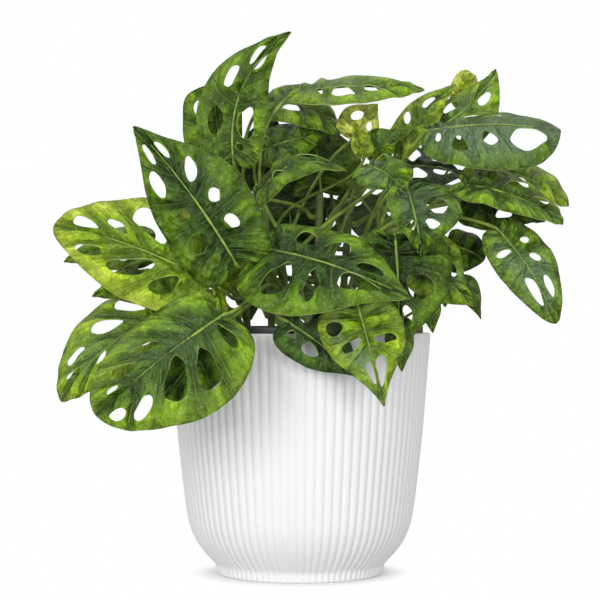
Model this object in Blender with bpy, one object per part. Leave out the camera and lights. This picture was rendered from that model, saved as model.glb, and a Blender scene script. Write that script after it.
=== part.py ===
"""Monstera adansonii in a ribbed cover pot.

A cover pot holds a thin nursery pot full of soil. Seven vine stems stand in
plain holes in the soil, and every leaf is one blade on one petiole that starts
at a node of a stem. Metres, +Z up, origin at the middle of the pot's flat base.
The plant's best side looks towards -Y.
"""

import math
import random

import bmesh
import bpy
from mathutils import Matrix, Vector

MM = 0.001

# Cover pot
RIB_COUNT = 84
RIB_DEPTH = 0.9 * MM
POT_PROFILE = [  # outside radius and height in mm, from the base up
    (56.6, 0.0),
    (59.0, 7.5),
    (66.0, 14.5),
    (73.7, 25.5),
    (78.6, 40.0),
    (85.0, 100.0),
    (90.3, 165.5),
]
CAVITY_PROFILE = [  # inside radius and height in mm, from the floor up
    (52.0, 3.5),
    (61.0, 13.0),
    (69.5, 25.5),
    (74.5, 40.0),
    (86.6, 165.5),
]

# Nursery pot
NURSERY_SIDES = 24
NURSERY_OUTSIDE = [(50.5, 3.8), (79.5, 158.0), (84.8, 159.0), (85.0, 170.0)]
NURSERY_INSIDE = [(49.3, 5.3), (78.3, 157.5), (83.0, 159.5), (83.4, 170.0)]
DRAIN_COUNT = 4
DRAIN_RADIUS = 5.0 * MM
DRAIN_CIRCLE = 33.0 * MM

# Soil
SOIL_SIDES = 24
SOIL_RINGS = 3
SOIL_BOTTOM = 5.7 * MM
SOIL_TOP = 156.0 * MM
SOIL_DOME = 3.0 * MM
SOIL_BOTTOM_RADIUS = 48.9 * MM
SOIL_TOP_RADIUS = 77.4 * MM
STEM_DEPTH = 24.0 * MM

# Stems and petioles
STEM_RADIUS = 2.7 * MM
STEM_SIDES = 6
NODE_SWELL = 1.1
SEAT_GAP = 0.3 * MM
PETIOLE_RADIUS = 1.6 * MM
PETIOLE_NECK_RADIUS = 1.3 * MM
PETIOLE_NECK = 2.4 * MM  # from the blade back to the full round petiole
PETIOLE_POINTS = 5

# Blades
BLADE_THICKNESS = 0.8 * MM
FORMS = {  # narrowing, drawn out tip, lean of the side veins, how much nearer the tip the last one is
    "egg": (1.6, 0.50, 0.0, 0.0),
    "broad": (1.2, 0.20, 0.0, 0.0),
    "swept": (1.2, 0.20, 0.6, 0.06),
    "slim": (1.9, 0.60, 0.0, 0.0),
    "round": (1.0, 0.18, 0.6, 0.07),
    "blunt": (0.75, 0.0, 0.0, 0.08),
}
LOBE = 0.16  # how strongly the two basal lobes reach back
SWEEP = 1.6  # how far forward the side veins run
VEIN_BOW = 1.35  # side veins leave the midrib steeply and bend forward
RIPPLE = 0.07  # waves of the margin, up and down
WAVE = 0.045  # and in the plane of the blade

# Spaces between side veins, as shares of the blade from base to tip
LOBE_END = 0.07
FIRST_VEIN = 0.17
LAST_VEIN = {2: 0.74, 3: 0.80, 4: 0.85, 5: 0.87}  # by the number of spaces

# A hole lies between two side veins. Its start and end are shares of the way from the
# midrib to the margin, and its half width is a share of the space between the veins.
# "room" is the share of the blade's length that its space takes beside the others.
HOLES = {
    "T": {"start": 0.12, "end": 0.62, "half": 0.15, "room": 2.0},
    "U": {"start": 0.12, "end": 0.38, "half": 0.12, "room": 2.0},
    "B": {"start": 0.14, "end": 0.74, "half": 0.38, "room": 1.5},
    "L": {"start": 0.13, "end": 0.80, "half": 0.32, "room": 1.2},
    "M": {"start": 0.20, "end": 0.70, "half": 0.28, "room": 1.0},
    "N": {"start": 0.15, "end": 0.80, "half": 0.18, "room": 0.8},
    "R": {"start": 0.50, "end": 0.86, "half": 0.34, "room": 0.9},
    "S": {"start": 0.22, "end": 0.55, "half": 0.21, "room": 0.8},
    "-": {"room": 0.8},
}
HOLE_JITTER = 0.05
HOLE_WIDEST = (0.36, 0.74)  # where a six-cornered hole has its full width
HOLE_SQUARE = (0.14, 0.88)  # the same for a four-cornered one

# Stems: foot x, foot y, lean x, lean y, top height, all in mm
STEMS = [
    (-8.0, -28.0, -8.0, -8.0, 230.0),
    (32.0, -28.0, 12.0, -6.0, 232.0),
    (-36.0, -10.0, -12.0, -4.0, 232.0),
    (12.0, 6.0, 2.0, 6.0, 266.0),
    (-20.0, 24.0, -6.0, 8.0, 258.0),
    (52.0, 2.0, 14.0, -2.0, 246.0),
    (30.0, 38.0, 6.0, 10.0, 250.0),
]

# Leaves, one row each. Lengths in mm; the base is where the petiole meets the
# blade. "facing" is the way the upper side looks, and "halves" are the widths left
# and right of the midrib. "arch" lifts the middle of the midrib and "sway" moves it
# to the left, both in blade lengths. "fold" is the slope of each half at the midrib,
# "droop" the curl of the margins and "twist" the turn from base to tip in radians. The
# hole letters run from base to tip, first on the left half and then on the right. A dash
# is no hole. "stem" and "node" say where the petiole starts, and "bend" steers it.
LEAF_FIELDS = ("name", "tint", "form", "base", "tip", "facing", "halves", "arch", "sway",
               "fold", "droop", "twist", "left", "right", "stem", "node", "bend")
LEAVES = [
    ("01", "green", "egg", (-46, -10, 284), (-6, -20, 371), (-0.45, -0.85, 0.15), (28, 26),
     0.04, 0.16, 0.1, 0.12, 0, "-MMM", "SB-M", 4, 243, (0, 0, 0)),
    ("02", "deep", "blunt", (-55, 22, 287), (-61, 20, 340), (-0.2, -0.9, 0.3), (26, 18),
     0.05, 0, 0.05, 0.12, 0, "s-m", "-ms", 2, 216, (-7, 0, -7)),
    ("03", "green", "egg", (-42, -88, 212), (-110, -62, 302), (-0.3, -0.85, 0.4), (32, 33),
     0.06, -0.03, -0.1, 0.1, 0, "SMSRR", "-SSNM", 0, 195, (-7, 0, 7)),
    ("04", "bright", "swept", (-50, -72, 194), (-163, -56, 237), (-0.15, -0.8, 0.55), (38, 46),
     0.1, 0, 0.1, 0.15, 0, "UMLR-", "--LSM", 2, 177, (0, 0, 0)),
    ("05", "green", "round", (-50, -110, 177), (-127, -132, 115), (-0.15, -0.85, 0.45), (48, 36),
     0.05, 0, -0.05, 0.15, 0, "TLLRR", "--SMS", 0, 186, (0, 0, 0)),
    ("06", "green", "swept", (-71, -67, 183), (-156, -72, 121), (-0.35, -0.7, 0.6), (32, 39),
     0.1, -0.06, 0.05, 0.15, 0, "UMMS-", "-MMRS", 2, 168, (0, 0, 0)),
    ("07", "bright", "egg", (-21, -74, 221), (70, -116, 188), (0.08, -0.8, 0.6), (33, 50),
     0.06, 0, 0.05, 0.15, 0, "-MMN", "-LNB", 0, 204, (0, 0, 0)),
    ("08", "bright", "slim", (36, -108, 186), (53, -118, 120), (0.05, -0.95, 0.3), (25, 27),
     0.06, 0, -0.05, 0.15, 0, "--NB", "-RNM", 1, 177, (0, 0, 0)),
    ("09", "deep", "egg", (-7, -96, 173), (39, -98, 138), (0.1, -0.9, 0.4), (24, 19),
     0.05, 0, -0.05, 0.1, 0, "m-s", "sm-", 0, 168, (0, 0, 0)),
    ("10", "deep", "egg", (62, -78, 229), (63, -98, 154), (0.1, -0.9, 0.35), (38, 26),
     0.08, 0, -0.05, 0.15, 0, "--LM", "----", 1, 207, (0, 0, 0)),
    ("11", "green", "egg", (67, -78, 176), (66, -82, 141), (0.1, -0.9, 0.3), (7, 11),
     0.05, 0, -0.05, 0.1, 0, "--", "--", 1, 168, (0, 0, 0)),
    ("12", "green", "broad", (133, -48, 234), (170, -52, 172), (0.25, -0.9, 0.3), (21, 20),
     0.06, 0.03, -0.05, 0.12, 0, "-SSM", "-N-B", 1, 225, (0, 0, 0)),
    ("13", "green", "broad", (109, -45, 265), (175, -50, 238), (0.1, -0.58, 0.8), (30, 20),
     0.1, 0, 0.05, 0.15, 0, "-MMM", "----", 5, 213, (0, 0, 0)),
    ("14", "deep", "broad", (130, -12, 277), (185, -8, 253), (0.2, -0.6, 0.75), (26, 20),
     0.12, 0, 0, 0.12, 0, "---", "-m-", 6, 216, (0, 0, 0)),
    ("15", "green", "blunt", (88, -30, 303), (175, -42, 301), (0, -0.6, 0.8), (35, 37),
     0.06, 0, -0.32, 0.1, 0, "S-M-", "SMSB", 6, 207, (0, 0, 0)),
    ("16", "green", "egg", (89, 9, 305), (137, 14, 350), (-0.05, -0.85, 0.5), (14, 27),
     0.05, -0.12, 0, 0.12, 0, "MM-", "MLM", 1, 198, (0, -7, 7)),
    ("17", "bright", "blunt", (114, 28, 324), (122, 30, 349), (0, -0.8, 0.4), (9, 9),
     0.1, 0.1, 0.3, 0.1, 0, "--", "--", 6, 198, (14, 14, 0)),
    ("18", "bright", "egg", (67, 10, 293), (109, 13, 339), (-0.3, -0.8, 0.5), (14, 18),
     0.08, 0, 0.25, 0.1, 0, "MNM", "---", 0, 213, (7, -7, 0)),
    ("19", "bright", "broad", (-2, -12, 331), (85, -20, 331), (0, -0.42, 0.9), (26, 28),
     0.05, 0, 0, 0.15, 0, "-----", "-SLMS", 4, 198, (-14, -14, 0)),
    ("20", "deep", "broad", (-24, 15, 326), (28, 12, 304), (0, -0.6, 0.75), (26, 22),
     0.2, 0, 0, 0.12, 0, "---", "-m-", 2, 207, (-7, -7, 0)),
    ("21", "deep", "broad", (-27, 5, 292), (15, 5, 303), (0, -0.7, 0.6), (20, 20),
     0.08, 0, 0, 0.12, 0, "s--", "---", 3, 201, (0, 0, 0)),
    ("22", "bright", "egg", (36, 6, 300), (54, 9, 325), (0.2, -0.9, 0.3), (17, 12),
     0.06, 0, 0.15, 0.1, 0, "-M", "-S", 4, 207, (-7, 0, 7)),
    ("23", "deep", "egg", (46, -2, 288), (71, -4, 305), (0.1, -0.8, 0.5), (12, 12),
     0.06, 0, 0.1, 0.1, 0, "--", "--", 3, 210, (0, 0, 0)),
    ("24", "bright", "slim", (43, -18, 285), (37, -16, 308), (0.3, -0.9, 0.2), (9, 9),
     0.04, 0, 0.6, 0.1, 0, "--", "--", 4, 234, (-7, -7, 0)),
    ("25", "green", "broad", (46, -35, 279), (70, -62, 260), (0, -0.7, 0.6), (20, 19),
     0.08, 0, 0, 0.12, 0, "m--", "---", 3, 228, (0, 0, 0)),
    ("26", "deep", "egg", (70, -75, 260), (79, -85, 215), (0.25, -0.85, 0.4), (34, 16),
     0.08, 0, 0.05, 0.12, 0, "-BM-", "M-M-", 5, 222, (-12, -12, -12)),
    ("27", "green", "egg", (79, -58, 230), (116, -66, 184), (0.15, -0.85, 0.45), (20, 26),
     0.08, -0.12, 0, 0.12, 0, "-LM-", "N---", 1, 216, (0, 0, 0)),
    ("28", "deep", "slim", (107, -42, 204), (121, -44, 175), (0.15, -0.9, 0.3), (8, 7),
     0.06, 0, 0, 0.1, 0, "--", "m-", 5, 168, (14, 0, -14)),
    ("29", "deep", "broad", (100, -30, 226), (125, -32, 216), (0.1, -0.8, 0.5), (16, 20),
     0.06, 0, 0, 0.1, 0, "--", "--", 5, 198, (0, 0, 0)),
    ("30", "deep", "egg", (111, -22, 256), (166, -28, 241), (0.1, -0.8, 0.55), (20, 22),
     0.08, 0, 0, 0.12, 0, "-mm-", "--m-", 5, 237, (0, 0, 0)),
    ("31", "bright", "broad", (-30, -40, 255), (32, -40, 274), (0, -0.4, 0.9), (20, 20),
     0.26, 0, 0, 0.15, 0, "s-m", "-s-", 0, 222, (0, 0, 0)),
    ("32", "deep", "egg", (-27, 21, 267), (-20, 28, 321), (0, -0.85, 0.45), (25, 25),
     0.05, 0, 0, 0.12, 0, "---", "-m-", 3, 246, (0, 0, 0)),
    ("33", "deep", "egg", (15, 28, 265), (8, 35, 322), (0.1, -0.85, 0.4), (25, 30),
     0.05, 0, 0, 0.12, 0, "-m-", "---", 3, 258, (0, 0, 0)),
    ("34", "deep", "egg", (-102, -22, 225), (-161, -20, 214), (-0.2, -0.7, 0.65), (21, 21),
     0.08, 0, 0, 0.12, 0, "-m-", "---", 2, 198, (0, 0, 0)),
    ("35", "deep", "egg", (-77, -52, 204), (-138, -54, 190), (-0.3, -0.7, 0.6), (23, 23),
     0.08, 0, 0, 0.12, 0, "---", "-m-", 2, 186, (0, 0, 0)),
    ("43", "deep", "broad", (-48, -98, 173), (-89, -110, 120), (-0.15, -0.88, 0.42), (24, 22),
     0.05, 0, 0, 0.12, 0, "---", "---", 0, 177, (0, 0, 0)),
    ("44", "deep", "egg", (82, -67, 197), (87, -69, 166), (0.2, -0.85, 0.4), (8, 10),
     0.08, 0, 0, 0.12, 0, "--", "--", 1, 186, (0, 0, 0)),
    ("36", "green", "broad", (-62, 8, 238), (-92, 22, 230), (-0.3, -0.1, 0.95), (20, 20),
     0.12, 0, 0.05, 0.15, 0, "s-", "m-", 2, 225, (0, 0, 0)),
    ("37", "green", "egg", (-30, 62, 276), (-56, 128, 306), (-0.2, -0.1, 0.95), (29, 29),
     0.1, 0, 0.05, 0.15, 0, "mlm", "sml", 4, 252, (0, 0, 0)),
    ("38", "green", "egg", (22, 64, 282), (40, 142, 262), (0.1, 0.5, 0.85), (31, 31),
     0.12, 0, 0.05, 0.15, 0, "mlm", "lms", 6, 234, (0, -10, 0)),
    ("39", "bright", "egg", (70, 48, 268), (136, 92, 250), (0.4, 0.4, 0.8), (29, 29),
     0.1, 0, 0.05, 0.15, 0, "lmm", "slm", 6, 243, (14, -14, 0)),
    ("40", "green", "egg", (76, 46, 212), (108, 98, 184), (0.55, 0.45, 0.65), (27, 27),
     0.1, 0, 0.05, 0.15, 0, "mlm", "lms", 6, 189, (0, 0, 0)),
    ("41", "green", "egg", (0, 86, 204), (10, 142, 142), (0.1, 0.8, 0.6), (29, 29),
     0.08, 0, 0, 0.15, 0, "slm", "mml", 6, 174, (0, 0, 0)),
    ("42", "bright", "egg", (-48, 74, 203), (-72, 136, 146), (-0.35, 0.7, 0.65), (28, 28),
     0.1, 0, 0.05, 0.15, 0, "lms", "mlm", 4, 177, (0, 7, -7)),
    ("45", "green", "egg", (-38, 44, 236), (-36, 74, 174), (-0.1, 0.75, 0.6), (24, 24),
     0.08, 0, 0.05, 0.15, 0, "m-m", "sm-", 4, 225, (0, 0, 0)),
    ("46", "green", "egg", (62, 26, 282), (120, 44, 276), (0.2, -0.65, 0.75), (25, 25),
     0.1, 0, 0.05, 0.15, 0, "mls", "-ml", 3, 219, (0, 0, 0)),
    ("47", "deep", "egg", (-5, 36, 230), (-12, 56, 291), (-0.05, -0.88, 0.45), (17, 26),
     0.06, 0, 0.05, 0.15, 0, "---", "---", 4, 216, (0, 0, 0)),
    ("48", "green", "egg", (44, 49, 262), (76, 92, 206), (0.4, 0.6, 0.7), (25, 25),
     0.08, 0, 0.05, 0.15, 0, "m-m", "-ml", 3, 237, (0, 0, 0)),
    ("49", "green", "egg", (-74, 44, 214), (-106, 68, 186), (-0.6, 0.3, 0.75), (24, 24),
     0.1, 0, 0.05, 0.15, 0, "-ms", "m-m", 4, 186, (0, 0, 0)),
    ("50", "deep", "egg", (10, 54, 258), (12, 104, 204), (-0.08, 0.75, 0.65), (26, 25),
     0.08, 0, 0.05, 0.15, 0, "s-m", "-m-", 6, 225, (0, 0, 0)),
]


def clear_scene():
    for item in list(bpy.data.objects):
        bpy.data.objects.remove(item, do_unlink=True)


def make_material(name, color, roughness):
    material = bpy.data.materials.new(name)
    material.use_nodes = True
    shader = material.node_tree.nodes["Principled BSDF"]
    shader.inputs["Base Color"].default_value = (*color, 1.0)
    shader.inputs["Roughness"].default_value = roughness
    return material


def make_object(name, points, faces, material=None):
    mesh = bpy.data.meshes.new(name)
    mesh.from_pydata([tuple(point) for point in points], [], faces)
    mesh.validate()
    mesh.update()
    item = bpy.data.objects.new(name, mesh)
    bpy.context.scene.collection.objects.link(item)
    if material:
        mesh.materials.append(material)
    return item


def remove_object(item):
    bpy.data.objects.remove(item, do_unlink=True)


def combine(target, tools, operation):
    """Union or difference of the target with every tool, in one solver call."""
    group = bpy.data.collections.new("tools")
    bpy.context.scene.collection.children.link(group)
    for tool in tools:
        group.objects.link(tool)
    step = target.modifiers.new("combine", "BOOLEAN")
    step.operation = operation
    step.operand_type = "COLLECTION"
    step.collection = group
    step.solver = "EXACT"
    with bpy.context.temp_override(object=target):
        bpy.ops.object.modifier_apply(modifier=step.name)
    for tool in tools:
        remove_object(tool)
    bpy.data.collections.remove(group)


def tidy(item):
    """Weld, triangulate and turn every face outwards."""
    grid = bmesh.new()
    grid.from_mesh(item.data)
    bmesh.ops.remove_doubles(grid, verts=grid.verts, dist=0.01 * MM)
    bmesh.ops.dissolve_degenerate(grid, edges=grid.edges, dist=0.01 * MM)
    bmesh.ops.triangulate(grid, faces=grid.faces)
    bmesh.ops.recalc_face_normals(grid, faces=grid.faces)
    if grid.calc_volume(signed=True) < 0:
        bmesh.ops.reverse_faces(grid, faces=grid.faces)
    grid.to_mesh(item.data)
    grid.free()


def circle(radius, z, sides, phase=0.0):
    turn = 2 * math.pi / sides
    return [(radius * math.cos(turn * (i + phase)), radius * math.sin(turn * (i + phase)), z)
            for i in range(sides)]


def bridge(first, second, count):
    """Quads between two rings that start at the given vertex numbers."""
    return [(first + i, first + (i + 1) % count, second + (i + 1) % count, second + i)
            for i in range(count)]


def lathe(name, outside, inside, sides, material):
    """A thin closed pot from an outside and an inside profile in mm."""
    rings = [circle(r * MM, z * MM, sides) for r, z in outside]
    rings += [circle(r * MM, z * MM, sides) for r, z in reversed(inside)]
    points = [point for ring in rings for point in ring]
    faces = []
    for k in range(len(rings) - 1):
        faces += bridge(k * sides, (k + 1) * sides, sides)
    faces.append(tuple(reversed(range(sides))))
    last = (len(rings) - 1) * sides
    faces.append(tuple(range(last, last + sides)))
    return make_object(name, points, faces, material)


def build_pot(material):
    count = 2 * RIB_COUNT
    inner = RIB_COUNT // 2
    points = [(0.0, 0.0, 0.0)]
    faces = []
    for r, z in POT_PROFILE:
        for i in range(count):
            angle = math.pi * (i - 1.5) / RIB_COUNT
            radius = r * MM - (RIB_DEPTH if i % 2 else 0.0)
            points.append((radius * math.cos(angle), radius * math.sin(angle), z * MM))
    for i in range(count):
        faces.append((0, 1 + (i + 1) % count, 1 + i))
    for k in range(len(POT_PROFILE) - 1):
        faces += bridge(1 + k * count, 1 + (k + 1) * count, count)
    rim = 1 + (len(POT_PROFILE) - 1) * count
    first = len(points)
    for r, z in reversed(CAVITY_PROFILE):
        points += circle(r * MM, z * MM, inner)
    for i in range(inner):
        after = first + (i + 1) % inner
        fan = [rim + (4 * i + j) % count for j in range(5)]
        faces += [(fan[0], fan[1], first + i), (fan[1], fan[2], first + i)]
        faces += [(fan[2], after, first + i), (fan[2], fan[3], after), (fan[3], fan[4], after)]
    for k in range(len(CAVITY_PROFILE) - 1):
        faces += bridge(first + k * inner, first + (k + 1) * inner, inner)
    floor = first + (len(CAVITY_PROFILE) - 1) * inner
    faces.append(tuple(range(floor, floor + inner)))
    pot = make_object("pot", points, faces, material)
    tidy(pot)


def build_nursery_pot(material):
    pot = lathe("nursery_pot", NURSERY_OUTSIDE, NURSERY_INSIDE, NURSERY_SIDES, material)
    tidy(pot)
    drains = []
    for i in range(DRAIN_COUNT):
        angle = 2 * math.pi * i / DRAIN_COUNT
        shift = Vector((DRAIN_CIRCLE * math.cos(angle), DRAIN_CIRCLE * math.sin(angle), 0))
        rings = circle(DRAIN_RADIUS, 3 * MM, 6) + circle(DRAIN_RADIUS, 6 * MM, 6)
        faces = bridge(0, 6, 6) + [tuple(reversed(range(6))), tuple(range(6, 12))]
        drains.append(make_object("drain", [Vector(p) + shift for p in rings], faces))
    combine(pot, drains, "DIFFERENCE")
    tidy(pot)


def soil_height(share):
    """Top of the soil, slightly domed; share is the distance from the middle."""
    return SOIL_TOP + SOIL_DOME * (1 - share * share)


def build_soil(material):
    points = circle(SOIL_BOTTOM_RADIUS, SOIL_BOTTOM, SOIL_SIDES)
    faces = [tuple(reversed(range(SOIL_SIDES)))]
    for k in range(SOIL_RINGS):
        share = 1 - k / SOIL_RINGS
        points += circle(SOIL_TOP_RADIUS * share, soil_height(share), SOIL_SIDES)
        faces += bridge(k * SOIL_SIDES, (k + 1) * SOIL_SIDES, SOIL_SIDES)
    top = len(points)
    points.append((0, 0, soil_height(0)))
    last = SOIL_RINGS * SOIL_SIDES
    faces += [(last + i, last + (i + 1) % SOIL_SIDES, top) for i in range(SOIL_SIDES)]
    soil = make_object("soil", points, faces, material)
    tidy(soil)
    holes = []
    for x, y, _, _, _ in STEMS:
        shift = Vector((x * MM, y * MM, 0))
        radius = STEM_RADIUS + SEAT_GAP / math.cos(math.pi / STEM_SIDES)
        floor = SOIL_TOP - STEM_DEPTH - SEAT_GAP
        rings = circle(radius, floor, STEM_SIDES) + circle(radius, floor + 40 * MM, STEM_SIDES)
        ends = [tuple(reversed(range(STEM_SIDES))), tuple(range(STEM_SIDES, 2 * STEM_SIDES))]
        faces = bridge(0, STEM_SIDES, STEM_SIDES) + ends
        holes.append(make_object("hole", [Vector(p) + shift for p in rings], faces))
    combine(soil, holes, "DIFFERENCE")
    tidy(soil)


def stem_axis(index, height):
    """Middle of a stem at a height: upright in the soil, then leaning outwards."""
    x, y, lean_x, lean_y, top = STEMS[index]
    share = max(0.0, height - SOIL_TOP / MM - 6) / (top - SOIL_TOP / MM)
    return Vector((x + lean_x * share ** 1.6, y + lean_y * share ** 1.6, height)) * MM


def build_stem(index, nodes, material):
    top = STEMS[index][4]
    ground = SOIL_TOP / MM
    levels = [(ground - STEM_DEPTH / MM, 1.0), (ground + 5, 1.0)]
    for node in sorted(nodes):
        levels.append((node, NODE_SWELL))
    levels += [(top - 2, 0.8), (top, 0.45)]
    points = []
    for height, share in levels:
        middle = stem_axis(index, height)
        points += [Vector(p) + middle for p in circle(STEM_RADIUS * share, 0, STEM_SIDES)]
    faces = [tuple(reversed(range(STEM_SIDES)))]
    for k in range(len(levels) - 1):
        faces += bridge(k * STEM_SIDES, (k + 1) * STEM_SIDES, STEM_SIDES)
    faces.append(tuple(range(len(points) - STEM_SIDES, len(points))))
    stem = make_object("stem_%d" % (index + 1), points, faces, material)
    tidy(stem)


def smooth_step(low, high, value):
    share = min(1.0, max(0.0, (value - low) / (high - low)))
    return share * share * (3 - 2 * share)


class Blade:
    """The curved middle surface of one leaf, reached by q along and t across."""

    def __init__(self, leaf):
        self.leaf = leaf
        self.base = Vector(leaf["base"]) * MM
        self.tip = Vector(leaf["tip"]) * MM
        chord = self.tip - self.base
        self.halves = [width * MM for width in leaf["halves"]]
        self.phase = 1.7 * int(leaf["name"])
        self.small = min(1.0, max(self.halves) / (20 * MM))
        self.taper, self.drip, self.lean, _ = FORMS[leaf["form"]]
        self.facing = Vector(leaf["facing"]).normalized()
        along = chord.normalized()
        up = (self.facing - along * self.facing.dot(along)).normalized()
        side = up.cross(along)
        lift = up * 2 * leaf["arch"] + side * 2 * leaf["sway"]
        self.bend = (self.base + self.tip) / 2 + lift * chord.length
        self.peak = self.egg_width(1 / (self.taper + 1))

    def egg_width(self, share):
        return math.sqrt(share) * (1 - share) ** (self.taper / 2)

    def midrib(self, share):
        """Point, tangent, side and normal of the midrib at a share of its length."""
        inside = min(1.0, max(0.0, share))
        first = self.bend - self.base
        second = self.tip - self.bend
        point = self.base + first * 2 * inside + (second - first) * inside * inside
        tangent = (first + (second - first) * inside) * 2
        point += tangent * (share - inside)
        tangent.normalize()
        normal = (self.facing - tangent * self.facing.dot(tangent)).normalized()
        turn = Matrix.Rotation(self.leaf["twist"] * inside, 3, tangent)
        normal = turn @ normal
        return point, tangent, normal.cross(tangent), normal

    def flat(self, q, t):
        """Position on the blade pressed flat: along in blade lengths, across in metres."""
        u = 0.5 * math.pi * q
        egg = math.sin(u) ** 2
        edge = egg - LOBE * self.small ** 2 * 1.93 * math.sin(2 * u) * math.cos(u) ** 4
        half = self.halves[t < 0] * self.egg_width(min(egg, 1.0)) / self.peak
        half *= 1 - self.drip * smooth_step(0.5, 1.0, egg)
        half *= 1 + WAVE * math.sin(13.0 * q + self.phase + 2.0 * (t < 0))
        half += 0.6 * MM
        rib = q ** (SWEEP + self.lean * smooth_step(0.0, 0.3, q))
        return rib + (edge - rib) * abs(t) ** (VEIN_BOW - 0.4 * self.lean), half * t

    def point(self, q, t):
        share, across = self.flat(q, t)
        fold = self.leaf["fold"]
        place, _, side, normal = self.midrib(share)
        across /= math.sqrt(1 + fold * fold)
        width = self.halves[t < 0]
        curl = self.leaf["droop"] * across * across / width
        wave = RIPPLE * math.sin(9.0 * q + 2.0 * t + self.phase)
        height = abs(across) * (fold + wave * t * t * smooth_step(0.0, 0.2, q)) - curl
        return place + side * across + normal * height


def hole_ring(kind, low, high, noise):
    """Corners of a hole between the side veins at low and high, as q and |t|.

    A capital letter gives six corners and a small one gives four.
    """
    form = HOLES[kind.upper()]
    middle = 0.5 * (low + high)
    width = high - low
    start = form["start"] + noise.uniform(-HOLE_JITTER, HOLE_JITTER)
    end = form["end"] + noise.uniform(-HOLE_JITTER, HOLE_JITTER)
    span = end - start
    reach = form["half"] * width
    if kind.islower():
        near, far = [start + share * span for share in HOLE_SQUARE]
        reach *= 0.88
        return [(middle - reach, near), (middle - reach, far),
                (middle + reach, far), (middle + reach, near)]
    near, far = [start + share * span for share in HOLE_WIDEST]
    return [(middle, start), (middle - reach, near), (middle - reach, far),
            (middle, end), (middle + reach, far), (middle + reach, near)]


def vein_breaks(leaf):
    """Values of q at which the side veins leave the midrib."""
    last = LAST_VEIN[len(leaf["left"])] + FORMS[leaf["form"]][3]
    pairs = zip(leaf["left"].upper(), leaf["right"].upper())
    rooms = [max(HOLES[kind]["room"] for kind in pair) for pair in pairs]
    breaks = [FIRST_VEIN]
    for room in rooms:
        breaks.append(breaks[-1] + (last - FIRST_VEIN) * room / sum(rooms))
    return breaks


def blade_cage(leaf):
    """Corners (q, t) and faces of the flat sheet with its holes."""
    noise = random.Random("cage " + leaf["name"])
    breaks = vein_breaks(leaf)
    corners = []
    index = {}
    faces = []

    def corner(q, t):
        key = (round(q, 6), round(t, 6))
        if key not in index:
            index[key] = len(corners)
            corners.append(key)
        return index[key]

    for sign in (1, -1):
        kinds = leaf["left"] if sign > 0 else leaf["right"]
        spans = [(LOBE_END, FIRST_VEIN)]
        end = [breaks[-1], 0.5 * (breaks[-1] + 1.0), 1.0]
        if breaks[-1] > 0.9:
            del end[1]
        spans += zip(end, end[1:])
        for k, kind in enumerate(kinds):
            low, high = breaks[k], breaks[k + 1]
            middle = 0.5 * (low + high)
            pair = leaf["left"][k] + leaf["right"][k]
            fine = pair == pair.upper()
            if kind == "-":
                spans += [(low, middle), (middle, high)] if fine else [(low, high)]
                continue
            hole = [corner(q, sign * t) for q, t in hole_ring(kind, low, high, noise)]
            outer = [(middle, 0), (low, 0), (low, 1), (middle, 1), (high, 1), (high, 0)]
            if not fine:
                outer = [pair for pair in outer if pair[0] != middle]
            outer = [corner(q, sign * t) for q, t in outer]
            for i in range(len(outer)):
                j = (i + 1) % len(outer)
                face = (outer[i], outer[j], hole[j], hole[i])
                faces.append(face if sign < 0 else face[::-1])
        for low, high in spans:
            face = (corner(low, 0), corner(high, 0), corner(high, sign), corner(low, sign))
            faces.append(face if sign > 0 else face[::-1])
    foot = [corner(0.0, 1), corner(0.0, -1)]
    left, middle, right = corner(LOBE_END, 1), corner(LOBE_END, 0), corner(LOBE_END, -1)
    faces += [(foot[0], middle, left), (foot[0], foot[1], middle), (foot[1], right, middle)]
    return corners, faces, foot


def thick_sheet(points, faces, thickness, open_edge=()):
    """Both sides of a triangulated sheet and the walls round its edges."""
    triangles = []
    for face in faces:
        if len(face) == 3:
            triangles.append(face)
            continue
        a, b, c, d = face
        if (points[a] - points[c]).length <= (points[b] - points[d]).length:
            triangles += [(a, b, c), (a, c, d)]
        else:
            triangles += [(a, b, d), (b, c, d)]
    normals = [Vector((0, 0, 0)) for _ in points]
    edges = {}
    for a, b, c in triangles:
        normal = (points[b] - points[a]).cross(points[c] - points[a])
        for corner in (a, b, c):
            normals[corner] += normal
        for pair in ((a, b), (b, c), (c, a)):
            edges[pair] = True
    half = 0.5 * thickness
    upper = [p + n.normalized() * half for p, n in zip(points, normals)]
    lower = [p - n.normalized() * half for p, n in zip(points, normals)]
    count = len(points)
    solid = list(triangles)
    solid += [(c + count, b + count, a + count) for a, b, c in triangles]
    for a, b in edges:
        if (b, a) not in edges and {a, b} != set(open_edge):
            solid += [(b, a, a + count), (b, a + count, b + count)]
    return upper + lower, solid


def petiole_line(leaf, blade):
    """Points and radii of the petiole, from behind the blade down to its stem."""
    axis = stem_axis(leaf["stem"], leaf["node"])
    place, tangent, _, normal = blade.midrib(0.0)
    back = PETIOLE_NECK * (0.4 + 0.6 * blade.small)
    neck = place - tangent * back - normal * 0.25 * back
    toward = neck - axis
    out = Vector((toward.x, toward.y, 0)).normalized()
    start = axis + out * (1.12 * STEM_RADIUS + SEAT_GAP)
    reach = (neck - start).length
    steer = Vector(leaf["bend"]) * MM
    knee = start + out * 2.5 * MM
    first = neck - (tangent * 0.7 + normal * 0.5).normalized() * 0.3 * reach + steer
    second = knee + (out * 0.2 + Vector((0, 0, 0.35))) * reach + steer
    points = []
    radii = []
    for k in range(PETIOLE_POINTS):
        s = k / (PETIOLE_POINTS - 1)
        r = 1 - s
        point = neck * r ** 3 + first * 3 * r * r * s + second * 3 * r * s * s + knee * s ** 3
        points.append(point)
        radii.append(PETIOLE_NECK_RADIUS + (PETIOLE_RADIUS - PETIOLE_NECK_RADIUS) * s)
    radii[0] *= 0.5 + 0.5 * blade.small
    return points + [start], radii + [PETIOLE_RADIUS]


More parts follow.
